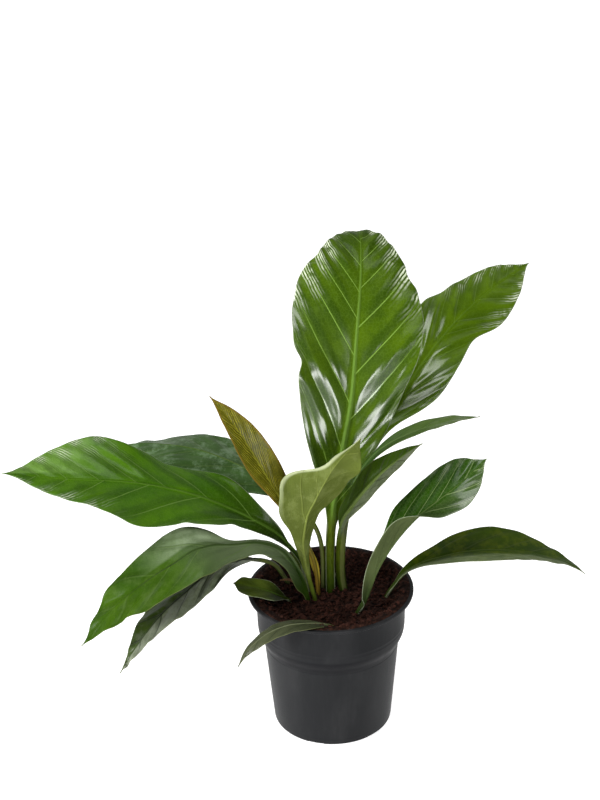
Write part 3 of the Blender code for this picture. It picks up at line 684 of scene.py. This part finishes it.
def leaf_piece(look, name, slot, **leaf):
    """The leaf's closed skin: rings of points round its top and underside, drawn in at both ends.

    Half the thickness is the larger, smoothly, of the rib's round and the blade's own, which
    rounds off to nothing within a short reach of the margin. A groove runs along either side of
    the rib. The right half is like the left where nothing else is said.
    """
    leaf = {**PLAIN_LEAF, **leaf, "seed": len(name)}
    for words in ("fold", "wave", "slope"):
        leaf.setdefault(words + "_right", leaf[words])
    start = leaf["blade_from"]
    rows, half = leaf["grid"]
    stalk_rows = max(6, round(rows * start))
    u = np.concatenate([np.linspace(0, start, stalk_rows + 1)[:-1],
                        start + (1 - start) * np.linspace(0, 1, rows) ** 0.95])
    t = leaf_columns(leaf, u, half)
    surface, b, s, rib, width, spread = leaf_surface(leaf, u, t)
    normal = np.cross(np.gradient(surface, axis=0), np.gradient(surface, axis=1))
    normal /= np.linalg.norm(normal, axis=-1, keepdims=True)
    x = np.abs(t) * width
    edge = width - x
    stalk_round = np.sqrt(np.maximum(rib ** 2 - x ** 2, 0))
    ridge = rib * np.exp(-(x / (RIB_WIDTH * rib)) ** 2)
    in_margin = 1 - np.clip(edge / MARGIN_R, 0, 1)
    sheet = BLADE_T / 2 * np.sqrt(1 - in_margin ** 2) * np.minimum(1, width / 3)
    above = (1 - spread) * stalk_round + spread * (RIB_ABOVE * ridge)
    under = (1 - spread) * stalk_round + spread * RIB_BELOW * ridge
    above = (above ** 3 + sheet ** 3) ** (1 / 3)
    under = (under ** 3 + sheet ** 3) ** (1 / 3)
    phases = [vein_phase(leaf, s, x, width, left) for left in (True, False)]
    raised = vein_relief(leaf, np.where(t > 0, *phases), b, s, x, width)
    raised = raised - GROOVE_DEPTH * rib * spread * np.exp(
        -((x / rib - GROOVE_AT) / GROOVE_WIDTH) ** 2)
    top = surface + normal * (raised + above)[..., None]
    bottom = surface + normal * (raised - under)[..., None]
    ring = np.concatenate([top, bottom[:, -2:0:-1]], axis=1)
    count, sides = ring.shape[:2]
    points = np.vstack([ring.reshape(-1, 3), surface[0, half], surface[-1, half]])
    faces = [[face[0], *face[:0:-1]] for face in closed_faces(count, sides)]

    def around(values):
        values = np.broadcast_to(values, t.shape)
        both = np.concatenate([values, values[:, -2:0:-1]], axis=1).ravel()
        return np.concatenate([both, [values[0, half], values[-1, half]]])

    faces_up = np.concatenate([np.ones_like(t), np.zeros_like(t[:, 2:])], axis=1)
    faces_up[:, [0, 2 * half]] = 0.5
    face = np.concatenate([faces_up.ravel(), [1, 1]])
    place = np.stack([around(b), around(t), face], -1)
    reach = np.stack([around(x / rib), around(edge), 0 * face], -1)
    vein = np.stack([around(phases[0]), around(phases[1]), 0 * face], -1)
    skin = leaf_skin(name + "_skin", leaf, {**PLAIN_LOOK, **look})
    piece = new_piece(name + "_blade", points, faces, skin,
                      {"place": place, "reach": reach, "vein": vein})
    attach(piece, "root")
    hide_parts(name)


def leaf_skin(name, leaf, look):
    """The leaf's waxy skin: green mottled by noise, with paler midrib, side veins and margin line,
    a matt pale underside, fine cross veins in the bump, and a stalk of its own tone."""
    mat, wire, shader = new_material(name)
    spot = wire.node("TexCoord", {}, {}, out="Object")
    (b, t, face), (rib_share, edge, _), (left_vein, right_vein, _) = [
        wire.node("Attribute", {"attribute_name": words}, {}, out="Vector").parts()
        for words in ("place", "reach", "vein")]
    a = abs(t)
    left = t > 0.0
    under = 1 - face.ramp(0.3, 0.7)

    # side veins, midrib, stalk and margin
    phase = left * left_vein + (1 - left) * right_vein
    off_vein = phase.nearest()
    vein = ((1 - off_vein.ramp(0.012, leaf["line"])) * a.ramp(0.9, 0.55, 0.25, 1.0)
            * b.ramp(0.02, 0.1))
    midrib = 1 - rib_share.ramp(0.5, 0.95)
    stalk = 1 - b.ramp(0.0, 0.09)
    rim = ((1 - edge.ramp(0.35 * look["rim_wide"], look["rim_wide"]))
           * b.ramp(look["rim_from"], look["rim_from"] + 0.25))
    if look["rim_side"]:
        rim = rim * (t * look["rim_side"] > 0.0)

    # patches, cross veins and wrinkles
    fine = (phase * 4).nearest()
    net = spot.node("TexVoronoi", {"feature": "DISTANCE_TO_EDGE"}, {"Vector": spot, "Scale": 260})
    patch = spot.noise(75, 4, 0.6)
    shade = spot.noise(22, 3, 0.5).ramp(0.3, 0.7)
    strand = (phase * 4 + spot.noise(60, 2, 0.5) * 2).nearest()
    crease = ((phase * leaf["ripples"] + spot.noise(30, 3, 0.5) * 2.6) * FULL_TURN).sine()
    near_vein = (a.ramp(0.42, 0.92) * off_vein.ramp(0.10, 0.44, 1.0, 0.0)
                 * patch.ramp(0.36, 0.60, 0.1, 1.3))

    # the upper side, layer upon layer
    # A painted shade: a darker band on one side of each side vein, where the panel would be in
    # shade.
    beside = (phase * FULL_TURN).sine().ramp(0.1, 1.0) * a.ramp(0.05, 0.3)
    # A painted sheen: pale streaks on the wrinkles near the side veins, in the margin's tone.
    wrinkle_sheen = crease.ramp(-0.8, 0.9) * near_vein * (b.ramp(0.62, 0.85) + a.ramp(0.85, 1.0) * 0.15)
    layers = [(patch.ramp(0.45, 0.75) * 0.35, look["dark"]),
              # painted shade: darker green in the sunken side veins
              (off_vein.ramp(0.0, 0.32, 0.32, 0.0) * a.ramp(0.02, 0.2), look["dark"]),
              (beside * look["vein_shade"], look["dark"])]
    below = shade.paint(look["under"], tuple(0.75 * c for c in look["under"]))
    # Random mottling; on the bluish leaf its grey-blue patches are a painted sheen.
    if look["mottle"]:
        spots, amount = look["mottle"]
        mottled = spot.noise(58, 5, 0.7).ramp(0.46, 0.66) * amount
        layers.append((mottled, spots))
        below = (mottled * 0.7).paint(below, spots)
    if look["foot"]:
        tone, low, high = look["foot"]
        layers.append((b.ramp(low, high, 1.0, 0.0), tone))
    # A paler tone on one half: partly the leaf's own tone, partly a painted sheen.
    if look["half"]:
        side, tone, amount, start, reach = look["half"]
        layers.append(((t * side).ramp(start, start + 0.12) * b.ramp(*reach[:2])
                       * b.ramp(*reach[-2:]) * patch.ramp(0.3, 0.7, amount, amount * 0.5), tone))
    layers += [(net.ramp(0.10, 0.02) * 0.10, look["vein"]),
               (strand.ramp(0.20, 0.03) * patch.ramp(0.35, 0.65, 0.2, 1.2) * look["strands"],
                look["vein"]),
               (wrinkle_sheen * look["wrinkle_sheen"], look["rim"]), (vein * look["vein_tone"], look["vein"]),
               (midrib * b.ramp(1.0, 0.5, 0.35, 1.0) * look["rib_tone"], look["rib"])]
    green = shade.paint(look["green"], look["light"])
    for amount, tone in layers:
        green = amount.paint(green, tone)

    # the underside, the stalk, a painted shadow at its foot near the soil, and the margin
    below = (vein * 0.45 + midrib * 0.5).paint(below, look["rib"])
    color = under.paint(green, below)
    fleck = spot.stretched(1, 1, 0.25).noise(420, 3, 0.6)
    stem = fleck.ramp(0.35, 0.7).paint(look["stalk"], tuple(0.6 * c for c in look["stalk"]))
    color = stalk.paint(color, stem)
    # A painted shadow: the stalks darken towards the soil.
    amount, high = look["shadow_near_soil"]
    low = spot.parts()[2].ramp(0.166, high, amount, 0.0) * b.ramp(0.30, 0.10)
    color = low.paint(color, tuple(0.6 * c for c in look["dark"]))
    color = (rim * look["rim_tone"]).paint(color, look["rim"])
    ripple = crease * near_vein * b.ramp(0.35, 0.9, 0.35, 1.0) * leaf["ripple"]
    height = (vein * (0.35 + 0.2 * under) + ripple + net.ramp(0.0, 0.12) * 0.07
              + patch * 0.4 - fine.ramp(0.12, 0.0) * 0.05 * a.ramp(0.1, 0.3))
    shine = (1 - under) * rib_share.ramp(1.3, 2.8) * (b - t * 0.12).ramp(*look["shine"])
    set_shader(wire, shader, base_color=color, specular_ior_level=look["sheen"],
               roughness=look["rough"] + patch.ramp(0.3, 0.7) * 0.10 + under * 0.2,
               coat_weight=shine * look["coat"], coat_roughness=look["coat_rough"], bump=height)
    return mat


GLOSSY = dict(
    green=(0.027, 0.056, 0.001), light=(0.042, 0.08, 0.001), dark=(0.012, 0.03, 0.001),
    vein=(0.13, 0.22, 0.034), rib=(0.078, 0.142, 0.02), under=(0.08, 0.115, 0.02),
    stalk=(0.055, 0.08, 0.004), rim=(0.5, 0.55, 0.4), rim_tone=0.22, rough=0.36, coat=0.95,
    coat_rough=0.19, sheen=0.02, vein_tone=0.8, wrinkle_sheen=1.2, vein_shade=0.6, shine=(0.56, 0.64, 1, 0.1))

leaf_piece(
    GLOSSY, "leaf_big_upright", "leaf_green", grid=(270, 48), root=(0, 5), heading=90, stalk=5.4,
    path=[(9, -1, 60), (17, -6, 108), (34, -18, 169), (48, -28, 219), (71, -36, 292),
          (89, -41, 340), (108, -43, 368), (131, -43, 383), (152, -42, 383), (166, -41, 374)],
    blade_from=0.2, left=(13, 36, 53, 62, 70, 74, 66, 36), right=(18, 30, 45, 58, 71, 72, 56, 30),
    fold=(14, 8, 4), fold_right=(-10, 8, 4), curl=(10, 0, -20), wave=(9, 2.5, 0.05),
    wave_right=(8, 2.5, 0.8), nicks=((1, 196, 7, 12), (1, 318, 3, 8), (-1, 296, 3, 9)), pitch=50,
    slope=1.65, slope_right=1.3, relief=1.1, line=0.03, ripple=0.3, ripples=7, lobe=0.012,
    ruffle=1.2, crumple=0.8,
    joints=((5, 50, 95, 148, 203, 245, 275, 305, 335, 365),
            (30, 78, 130, 182, 235, 280, 310, 340, 370)))


# The leaves on the right: a tall glossy one that leans out behind the big leaf, a slim arching
# one, and a dark folded one seen on its edge.
RIGHT_ARCH = dict(
    green=(0.055, 0.095, 0.016), light=(0.075, 0.12, 0.028), dark=(0.032, 0.06, 0.008),
    vein=(0.08, 0.13, 0.04), rib=(0.09, 0.14, 0.045), under=(0.08, 0.11, 0.04),
    stalk=(0.05, 0.07, 0.004), rim=(0.14, 0.15, 0.07), rough=0.42, coat=0.08, sheen=0.05,
    mottle=((0.1, 0.13, 0.06), 0.5), foot=((0.024, 0.058, 0.01), 0.3, 0.9))
DARK = dict(
    green=(0.02, 0.04, 0.002), light=(0.034, 0.058, 0.003), dark=(0.009, 0.02, 0.001),
    vein=(0.045, 0.065, 0.012), rib=(0.055, 0.08, 0.018), under=(0.05, 0.058, 0.028),
    stalk=(0.04, 0.058, 0.003), rim=(0.09, 0.1, 0.035), rough=0.42, coat=0.2)
TALL = dict(
    GLOSSY, green=(0.046, 0.09, 0.001), light=(0.068, 0.126, 0.002), vein_tone=0.4, rib_tone=0.35,
    wrinkle_sheen=0.9, vein_shade=0.25, coat=1, coat_rough=0.2, shine=(0.5, 0.6, 1, 0.3))
# Its grey near half is partly a painted sheen.
FOLDED = dict(
    DARK, green=(0.014, 0.03, 0.001), light=(0.022, 0.042, 0.002), vein=(0.024, 0.03, 0.014),
    strands=0.5, coat=0.03, sheen=0.02, half=(-1, (0.075, 0.086, 0.054), 0.9, 0, ALL_ALONG))

leaf_piece(
    TALL, "leaf_right_tall", "leaf_green", grid=(200, 36), root=(6, 22), heading=46, stalk=3.4,
    path=[(9, 20), (20, 76), (41, 132), (77, 173), (119, 200), (161, 230), (209, 257), (260, 275),
          (310, 286), (359, 293)], blade_from=0.26, left=(7, 18, 32, 41, 44, 32, 22),
    right=(8, 17, 36, 36, 31, 40, 26), fold=(8, 5, 0), roll=(45, 40, 40), wave=(4, 2, 0.2),
    wave_right=(8, 2, 0.35), nicks=((1, 258, 5, 16),), pitch=50, slope=1.9, relief=0.8, line=0.03,
    ripple=0.25, ripples=6, lobe=0.006, ruffle=0.5, crumple=1.4,
    joints=((20, 70, 120, 165, 205, 240, 280, 315, 345),
            (25, 75, 125, 175, 220, 243, 290, 325, 355)))
leaf_piece(
    RIGHT_ARCH, "leaf_right_arch", "leaf_dark", grid=(130, 24), root=(16, 13.4), heading=10,
    stalk=2.4,
    path=[(-3, 31), (2, 89), (15, 138), (34, 165), (49, 177), (83, 191), (126, 200), (158, 201)],
    blade_from=0.36, left=(4, 6, 10, 17, 23, 24, 18), right=(5, 11, 18, 25, 28, 23, 12),
    fold=(8, 5, 5), roll=(-12, -14, -14), wave=(1, 2, 0), relief=0.25, ripple=0.05)
leaf_piece(
    FOLDED, "leaf_right_dark", "leaf_dark", grid=(130, 24), root=(15, 4), heading=-8, stalk=5.4,
    path=[(-3, -1, 24), (-2, -4, 63), (3, -7, 99), (12, -10, 117), (23, -12, 134), (48, -14, 165),
          (74, -14, 189), (90, -14, 201)], blade_from=0.36, left=(8, 14, 19, 20, 18, 14, 8),
    right=(4, 8, 12, 15, 15, 12, 6), fold=(8, 8, 8), roll=(30, 35, 35), wave=(2, 2, 0),
    relief=0.35, ripple=0.08, crumple=1)


# The two young leaves in the middle: the newest is still rolled inwards, thin and pale, with its
# underside to the front, and the one beside it is bronze, as new growth is before it greens.
PALE = dict(
    green=(0.085, 0.135, 0.01), light=(0.12, 0.18, 0.02), dark=(0.06, 0.1, 0.006),
    vein=(0.13, 0.16, 0.03), rib=(0.13, 0.16, 0.03), under=(0.07, 0.092, 0.012),
    stalk=(0.075, 0.095, 0.004), rim=(0.4, 0.44, 0.26), rim_tone=0.7, rim_wide=6, rim_from=0.42,
    rim_side=-1, rough=0.45, coat=0.1, vein_tone=0.35, mottle=((0.12, 0.145, 0.04), 0.7))
BRONZE = dict(
    green=(0.04, 0.042, 0.001), light=(0.066, 0.062, 0.002), dark=(0.024, 0.02, 0.001),
    vein=(0.26, 0.24, 0.012), rib=(0.14, 0.14, 0.008), under=(0.045, 0.04, 0.002),
    stalk=(0.065, 0.08, 0.004), rim=(0.13, 0.075, 0.006), rim_tone=0.6, rim_wide=3, rough=0.45,
    coat=0.04, strands=0.9, vein_tone=0.4)

leaf_piece(
    PALE, "leaf_young_pale", "leaf_young", grid=(170, 30), root=(-18, -13), heading=270, stalk=2.6,
    path=[(7, -10, 52), (11, -12, 78), (15, -10, 100), (19, -6, 122), (20, 1, 137), (19, 10, 155),
          (15, 23, 176), (9, 36, 190), (-3, 54, 203)], blade_from=0.18,
    left=(4, 10, 16, 23, 33, 30, 27), right=(4, 8, 17, 35, 42, 13, 8), fold=(35, 45, 20),
    fold_right=(10, 0, 60), wave=(3, 1.5, 0), relief=0.25, ripple=0.02, crumple=1)
leaf_piece(
    BRONZE, "leaf_young_bronze", "leaf_bronze", grid=(130, 24), root=(-14, -3), heading=165,
    stalk=2.3, path=[(5, 47), (27, 97), (45, 127), (62, 157), (85, 197), (102, 221), (119, 241)],
    blade_from=0.3, left=(4, 7, 11, 17, 18, 14, 8), right=(5, 11, 19, 21, 20, 17, 10),
    fold=(15, 15, 15), roll=(-40, -45, -45), wave=(2, 2, 0), slope=4.5, relief=0.4, ripples=10)


# The leaves on the left: a long wavy one that reaches furthest, a dull one behind it, an arching
# one on a winged stalk, and a dark one that hangs low over the pot's edge.
# Its paler far half towards the tip is a painted sheen.
LONG = dict(
    GLOSSY, green=(0.024, 0.074, 0.001), light=(0.04, 0.104, 0.001), dark=(0.009, 0.03, 0.001),
    vein=(0.09, 0.16, 0.03), rib=(0.05, 0.1, 0.012), coat=0.12, rough=0.38, vein_tone=0.6,
    rib_tone=0.6, wrinkle_sheen=0.5, vein_shade=0.4, shine=(0, 0.01, 1, 1),
    half=(-1, (0.14, 0.25, 0.055), 0.55, 0.1, (0.55, 0.9)), foot=((0.01, 0.022, 0.001), 0.16, 0.48))
DULL = dict(
    green=(0.026, 0.072, 0.002), light=(0.042, 0.098, 0.003), dark=(0.013, 0.036, 0.001),
    vein=(0.055, 0.095, 0.02), rib=(0.045, 0.075, 0.015), under=(0.055, 0.07, 0.025),
    stalk=(0.045, 0.062, 0.004), rim=(0.1, 0.11, 0.04), rough=0.45, coat=0.1, vein_tone=0.4)
# Its grey-blue mottle is a painted sheen.
BLUISH = dict(
    DULL, green=(0.02, 0.05, 0.008), light=(0.034, 0.078, 0.014),
    mottle=((0.12, 0.185, 0.1), 0.65), coat=0.12, sheen=0.05)
# Its grey-green foot and its pale grey far half are partly a painted sheen.
ARCHED = dict(
    DULL, shadow_near_soil=(0.95, 0.275), green=(0.014, 0.04, 0.001), light=(0.028, 0.066, 0.001),
    foot=((0.06, 0.082, 0.038), 0.36, 0.68), rib=(0.02, 0.036, 0.008), coat_rough=0.3, coat=0.08,
    sheen=0.02, mottle=((0.06, 0.1, 0.02), 0.35),
    half=(-1, (0.135, 0.175, 0.1), 0.85, 0.2, (0.36, 0.48, 0.74, 0.52)))
# Its pale grey near half is partly a painted sheen.
GREYED = dict(
    DARK, mottle=((0.07, 0.085, 0.05), 0.6), vein=(0.014, 0.018, 0.009), vein_tone=0.7,
    rib=(0.012, 0.016, 0.008), half=(1, (0.175, 0.195, 0.14), 0.9, 0, ALL_ALONG))

leaf_piece(
    LONG, "leaf_left_long", "leaf_green", grid=(210, 36), root=(-25, 9), heading=186, stalk=3.4,
    path=[(8, 35), (28, 70), (58, 96), (92, 118), (125, 135), (160, 148), (200, 158), (270, 168),
          (333, 180)], blade_from=0.1, left=(8, 15, 38, 51, 60, 40, 20),
    right=(3, 13, 39, 40, 46, 51, 35), fold=(10, 6, 4), roll=(-20, -25, -25), wave=(5, 3, 0.1),
    wave_right=(12, 2, 0.75), nicks=((-1, 209, 2, 10), (1, 181, 3, 9), (1, 126, 4, 10)), pitch=50,
    slope=1.6, relief=0.6, line=0.028, ripple=0.3, lobe=0.005, ruffle=0.5, crumple=1,
    joints=((40, 95, 165, 225, 275, 315, 350), (45, 100, 155, 205, 238, 280, 315, 345)))
leaf_piece(
    BLUISH, "leaf_left_back", "leaf_dark", grid=(150, 28), root=(-8, 15), heading=150, stalk=2.6,
    path=[(2, 58), (10, 79), (33, 106), (62, 120), (89, 129), (132, 138), (171, 141), (219, 136),
          (256, 128), (290, 114)], blade_from=0.24, left=(10, 24, 36, 42, 43, 38, 23),
    right=(6, 20, 44, 50, 42, 35, 18), fold=(-20, -25, -20), fold_right=(10, 6, 4),
    roll=(8, 12, 15), wave=(4, 2, 0), pitch=52, slope=1.7, relief=0.9, ripple=0.15, crumple=1.2)
leaf_piece(
    ARCHED, "leaf_left_arch", "leaf_green", grid=(190, 32), root=(-26, -17), heading=200, stalk=3,
    path=[(4, 20), (13, 44), (29, 73), (56, 90), (86, 95), (110, 99), (132, 97), (151, 88),
          (176, 77), (206, 60), (231, 42), (264, 8)], blade_from=0.07,
    left=(14, 18, 19, 16, 22, 34, 36, 38, 38, 27, 14),
    right=(3, 4, 5, 6, 10, 30, 37, 32, 29, 24, 13), fold=(15, 5, 0), roll=(-75, -35, -15, -15),
    wave=(5, 1.5, 0), wave_right=(6, 1.5, 0.2), pitch=52, slope=1.7, relief=1.2, crumple=1.3)
leaf_piece(
    GREYED, "leaf_left_low", "leaf_dark", grid=(140, 26), root=(-48, 24), heading=215, stalk=2.6,
    path=[(7, 14), (20, 34), (45, 49), (66, 55), (90, 57), (117, 51), (141, 40), (169, 26),
          (196, 5), (228, -29)], blade_from=0.26, left=(11, 18, 24, 23, 22, 18, 10),
    right=(6, 13, 24, 31, 27, 19, 8), fold=(5, 0, 0), wave=(4, 1.5, 0), slope=1.7, relief=1,
    ripple=0.25, crumple=1.2)


# The two small leaves at the pot's edge: a spoon-shaped one on the left and a thin one that lies
# over the lip at the front.
# Its near-black foot is a painted shadow.
SMALL = dict(
    LONG, vein_tone=0.1, foot=((0.003, 0.007, 0.001), 0.1, 0.6), coat_rough=0.2,
    green=(0.05, 0.075, 0.006), light=(0.075, 0.105, 0.012), dark=(0.024, 0.036, 0.002), coat=0.1,
    wrinkle_sheen=0.1, half=None)
OLIVE = dict(
    DULL, shadow_near_soil=(0, 0.2), green=(0.018, 0.023, 0.008), light=(0.038, 0.044, 0.019),
    dark=(0.014, 0.018, 0.005), rib=(0.08, 0.09, 0.045), coat=0.05, vein=(0.014, 0.02, 0.007),
    vein_tone=0.7, strands=0.3)

leaf_piece(
    SMALL, "leaf_rim_left", "leaf_green", grid=(100, 22), root=(-45, -18), heading=176, stalk=2,
    path=[(4, 5), (16, 11), (27, 16), (40, 20), (53, 23), (66, 26)], blade_from=0.3,
    left=(8, 15, 17, 17, 17, 16, 13), right=(5, 10, 13, 13, 13, 12, 10), fold=(10, 10, 10),
    roll=(-10, -15, -15), wave=(1, 1, 0), pitch=30, relief=0.15, ripple=0.02)
leaf_piece(
    OLIVE, "leaf_rim_front", "leaf_dark", grid=(120, 22), root=(4, -76), heading=190, stalk=1.5,
    path=[(4, 5), (16, 10), (38, 13.5), (57, 13), (77, 6), (91, -4), (103, -17), (111, -32)],
    blade_from=0.18, left=(8, 12, 13, 12, 10, 7, 3), right=(3, 6, 9, 11, 9, 7, 4),
    fold=(0, -8, -10), roll=(0, -8, -30), wave=(1, 1, 0), pitch=26, slope=2.6, relief=0.25,
    ripple=0.12, ripples=5)


# The two leaves low on the right: one with its near half folded up into a cup, and a long dark
# one that arches out flat.
# Its lighter near half is partly a painted sheen.
CUPPED = dict(
    GLOSSY, green=(0.009, 0.03, 0.001), light=(0.015, 0.046, 0.001), dark=(0.006, 0.02, 0.001),
    vein=(0.15, 0.2, 0.08), under=(0.06, 0.078, 0.028), stalk=(0.05, 0.07, 0.012),
    rib=(0.055, 0.08, 0.024), coat=0.6, wrinkle_sheen=0.3, vein_tone=0.6, shine=(0.76, 0.88, 0.05, 1),
    half=(-1, (0.045, 0.072, 0.02), 0.4, 0.1, ALL_ALONG), foot=((0.05, 0.062, 0.022), 0.2, 0.38))
# Its pale near strip is partly a painted highlight.
MOTTLED = dict(
    DARK, green=(0.019, 0.04, 0.001), light=(0.031, 0.058, 0.001), dark=(0.012, 0.026, 0.001),
    mottle=((0.068, 0.092, 0.002), 0.6), sheen=0.02, coat=0.08, rim=(0.22, 0.24, 0.15),
    half=(-1, (0.1, 0.13, 0.055), 0.9, 0.35, ALL_ALONG))

leaf_piece(
    CUPPED, "leaf_right_cup", "leaf_green", grid=(170, 30), root=(29, -43), heading=15, stalk=3,
    path=[(6, 10), (14, 29), (22, 50), (33, 69), (48, 89), (68, 109), (92, 126), (113, 140),
          (130, 153), (151, 171)], blade_from=0.1, left=(3, 4, 9, 18, 28, 31, 33, 33, 25),
    right=(9, 13, 17, 21, 25, 26, 26, 26, 17), fold=(0, 0, 0, 0),
    fold_right=(60, 90, 100, 98, 25, 0, 0), roll=(20, 30, 30), wave=(3, 1, 0), pitch=38, slope=2.9,
    relief=0.5, ripple=0.15, crumple=1.2)
leaf_piece(
    MOTTLED, "leaf_right_low", "leaf_dark", grid=(150, 28), root=(64, -8), heading=6, stalk=2.4,
    path=[(5, 9), (19, 27), (38, 39), (65, 46), (91, 50), (118, 50), (149, 46), (176, 39),
          (215, 22), (232, 8)], blade_from=0.09, left=(6, 17, 32, 38, 35, 27, 15),
    right=(8, 20, 30, 44, 41, 25, 10), fold=(14, 14, 10), wave=(2, 2, 0), pitch=44, slope=2,
    relief=0.4, crumple=1.3)


# The sheaths: papery scales that once wrapped the stalks. One stands between them and is turning
# yellow, and the other lies brown and dry on the soil at the left.
YELLOWED = dict(
    green=(0.36, 0.27, 0.022), light=(0.42, 0.33, 0.03), dark=(0.25, 0.16, 0.012),
    vein=(0.45, 0.38, 0.06), rib=(0.4, 0.34, 0.05), under=(0.36, 0.28, 0.03),
    stalk=(0.1, 0.1, 0.012), rim=(0.22, 0.13, 0.015), rough=0.55, coat=0)
BROWNED = dict(
    green=(0.1, 0.05, 0.02), light=(0.15, 0.08, 0.03), dark=(0.05, 0.025, 0.01),
    vein=(0.17, 0.1, 0.045), rib=(0.14, 0.08, 0.035), under=(0.1, 0.055, 0.022),
    stalk=(0.06, 0.035, 0.012), rim=(0.05, 0.025, 0.01), rough=0.75, coat=0)

leaf_piece(
    YELLOWED, "sheath_yellow", "sheath_yellow", grid=(60, 14), root=(-13, 7), heading=270,
    stalk=1.3, path=[(0, -2, 20), (0, -7, 45), (0, -11, 64)], blade_from=0.28,
    left=(2.5, 4, 5, 4, 2), right=(2.5, 4, 5, 4, 2), fold=(30, 30, 20), wave=(0.5, 1, 0), pitch=12,
    slope=6, relief=0.1, ripple=0.03, ruffle=0.2)
leaf_piece(
    BROWNED, "sheath_brown", "sheath_brown", grid=(50, 12), root=(-38, 14), heading=215, stalk=1.2,
    path=[(2, 6), (10, 14), (24, 20)], blade_from=0.45, left=(2, 3, 3, 2), right=(2, 3, 3, 2),
    fold=(25, 30, 35), wave=(0.5, 1, 0), pitch=8, slope=6, relief=0.1, ripple=0.03, ruffle=0.2)


# The studio: a white floor with a painted pool of light, glowing in a fan behind the plant and dim
# in front, and a pale surround, with a soft box on the left, a low wide one in front, a soft
# overhead light, and the camera that looks down on the plant from the front.
FLOOR_R = 9.0
FLOOR_SIDES = 48
LIGHT_AIM = (0, 0, 0.3)
CAMERA_REACH = 1.8
CAMERA_PITCH = 25.0
CAMERA_ROLL = -1.5
CAMERA_AIM = (-0.0294, 0.0, 0.4075)
CAMERA_LENS = 74.6

paper, wire, shader = new_material("floor_paper")
aside, depth, _ = wire.node("TexCoord", {}, {}, out="Object").parts()
# A painted pool of light: the floor glows white in a fan behind the plant and dims in front.
lit = (abs(aside) - depth * 0.3).ramp(0.62, 0.95, 1.0, 0.0) * depth.ramp(-0.75, -0.2)
set_shader(wire, shader, base_color=(0.7, 0.7, 0.7), roughness=0.9, specular_ior_level=0.1,
           emission_color=lit.paint((0.05, 0.05, 0.05), (1.0, 1.0, 1.0)), emission_strength=0.75)
turn = 2 * np.pi * np.arange(FLOOR_SIDES) / FLOOR_SIDES
edge = np.stack([np.cos(turn), np.sin(turn), 0 * turn], -1) * FLOOR_R / MM
floor = new_piece("floor", edge, [list(range(FLOOR_SIDES))], paper)

world = bpy.data.worlds.new("studio")
world.use_nodes = True
sky = Wire(world.node_tree)
behind = sky.node("TexCoord", {}, {}, out="Generated").parts()[1].ramp(-0.2, 0.45)
world.node_tree.links.new(behind.paint((0.03, 0.032, 0.034), (0.9, 0.9, 0.9)).socket,
                          world.node_tree.nodes["Background"].inputs["Color"])
bpy.context.scene.world = world


def placed(name, data, place, aim, roll=0.0):
    """A light or camera at a place in metres, faced to its aim and rolled by so many degrees."""
    thing = bpy.data.objects.new(name, data)
    away = np.subtract(place, aim)
    away /= np.linalg.norm(away)
    right = np.cross((0.0, 1.0, 0.0) if abs(away[2]) > 0.9 else (0.0, 0.0, 1.0), away)
    right /= np.linalg.norm(right)
    up = np.cross(away, right)
    c, s = np.cos(np.radians(roll)), np.sin(np.radians(roll))
    axes = np.eye(4)
    axes[:3] = np.stack([c * right + s * up, c * up - s * right, away, place], -1)
    thing.matrix_world = Matrix(axes.tolist())
    bpy.context.scene.collection.objects.link(thing)
    return thing


def soft_box(name, place, size, power):
    """A rectangular area light that faces the plant."""
    light = bpy.data.lights.new(name, "AREA")
    light.shape = "RECTANGLE"
    light.size, light.size_y = size
    light.energy = power
    placed(name, light, place, LIGHT_AIM)


soft_box("left_box", (-1.95, -0.90, 0.50), (0.6, 0.8), 60)
soft_box("front_box", (0.35, -2.00, 0.29), (1.2, 0.5), 36)
soft_box("top_box", (-0.35, -0.75, 2.3), (2.0, 1.0), 48)

camera_data = bpy.data.cameras.new("camera")
camera_data.lens = CAMERA_LENS
pitch = np.radians(CAMERA_PITCH)
place = CAMERA_AIM + CAMERA_REACH * np.array([0, -np.cos(pitch), np.sin(pitch)])
bpy.context.scene.camera = placed("camera", camera_data, place, CAMERA_AIM, CAMERA_ROLL)
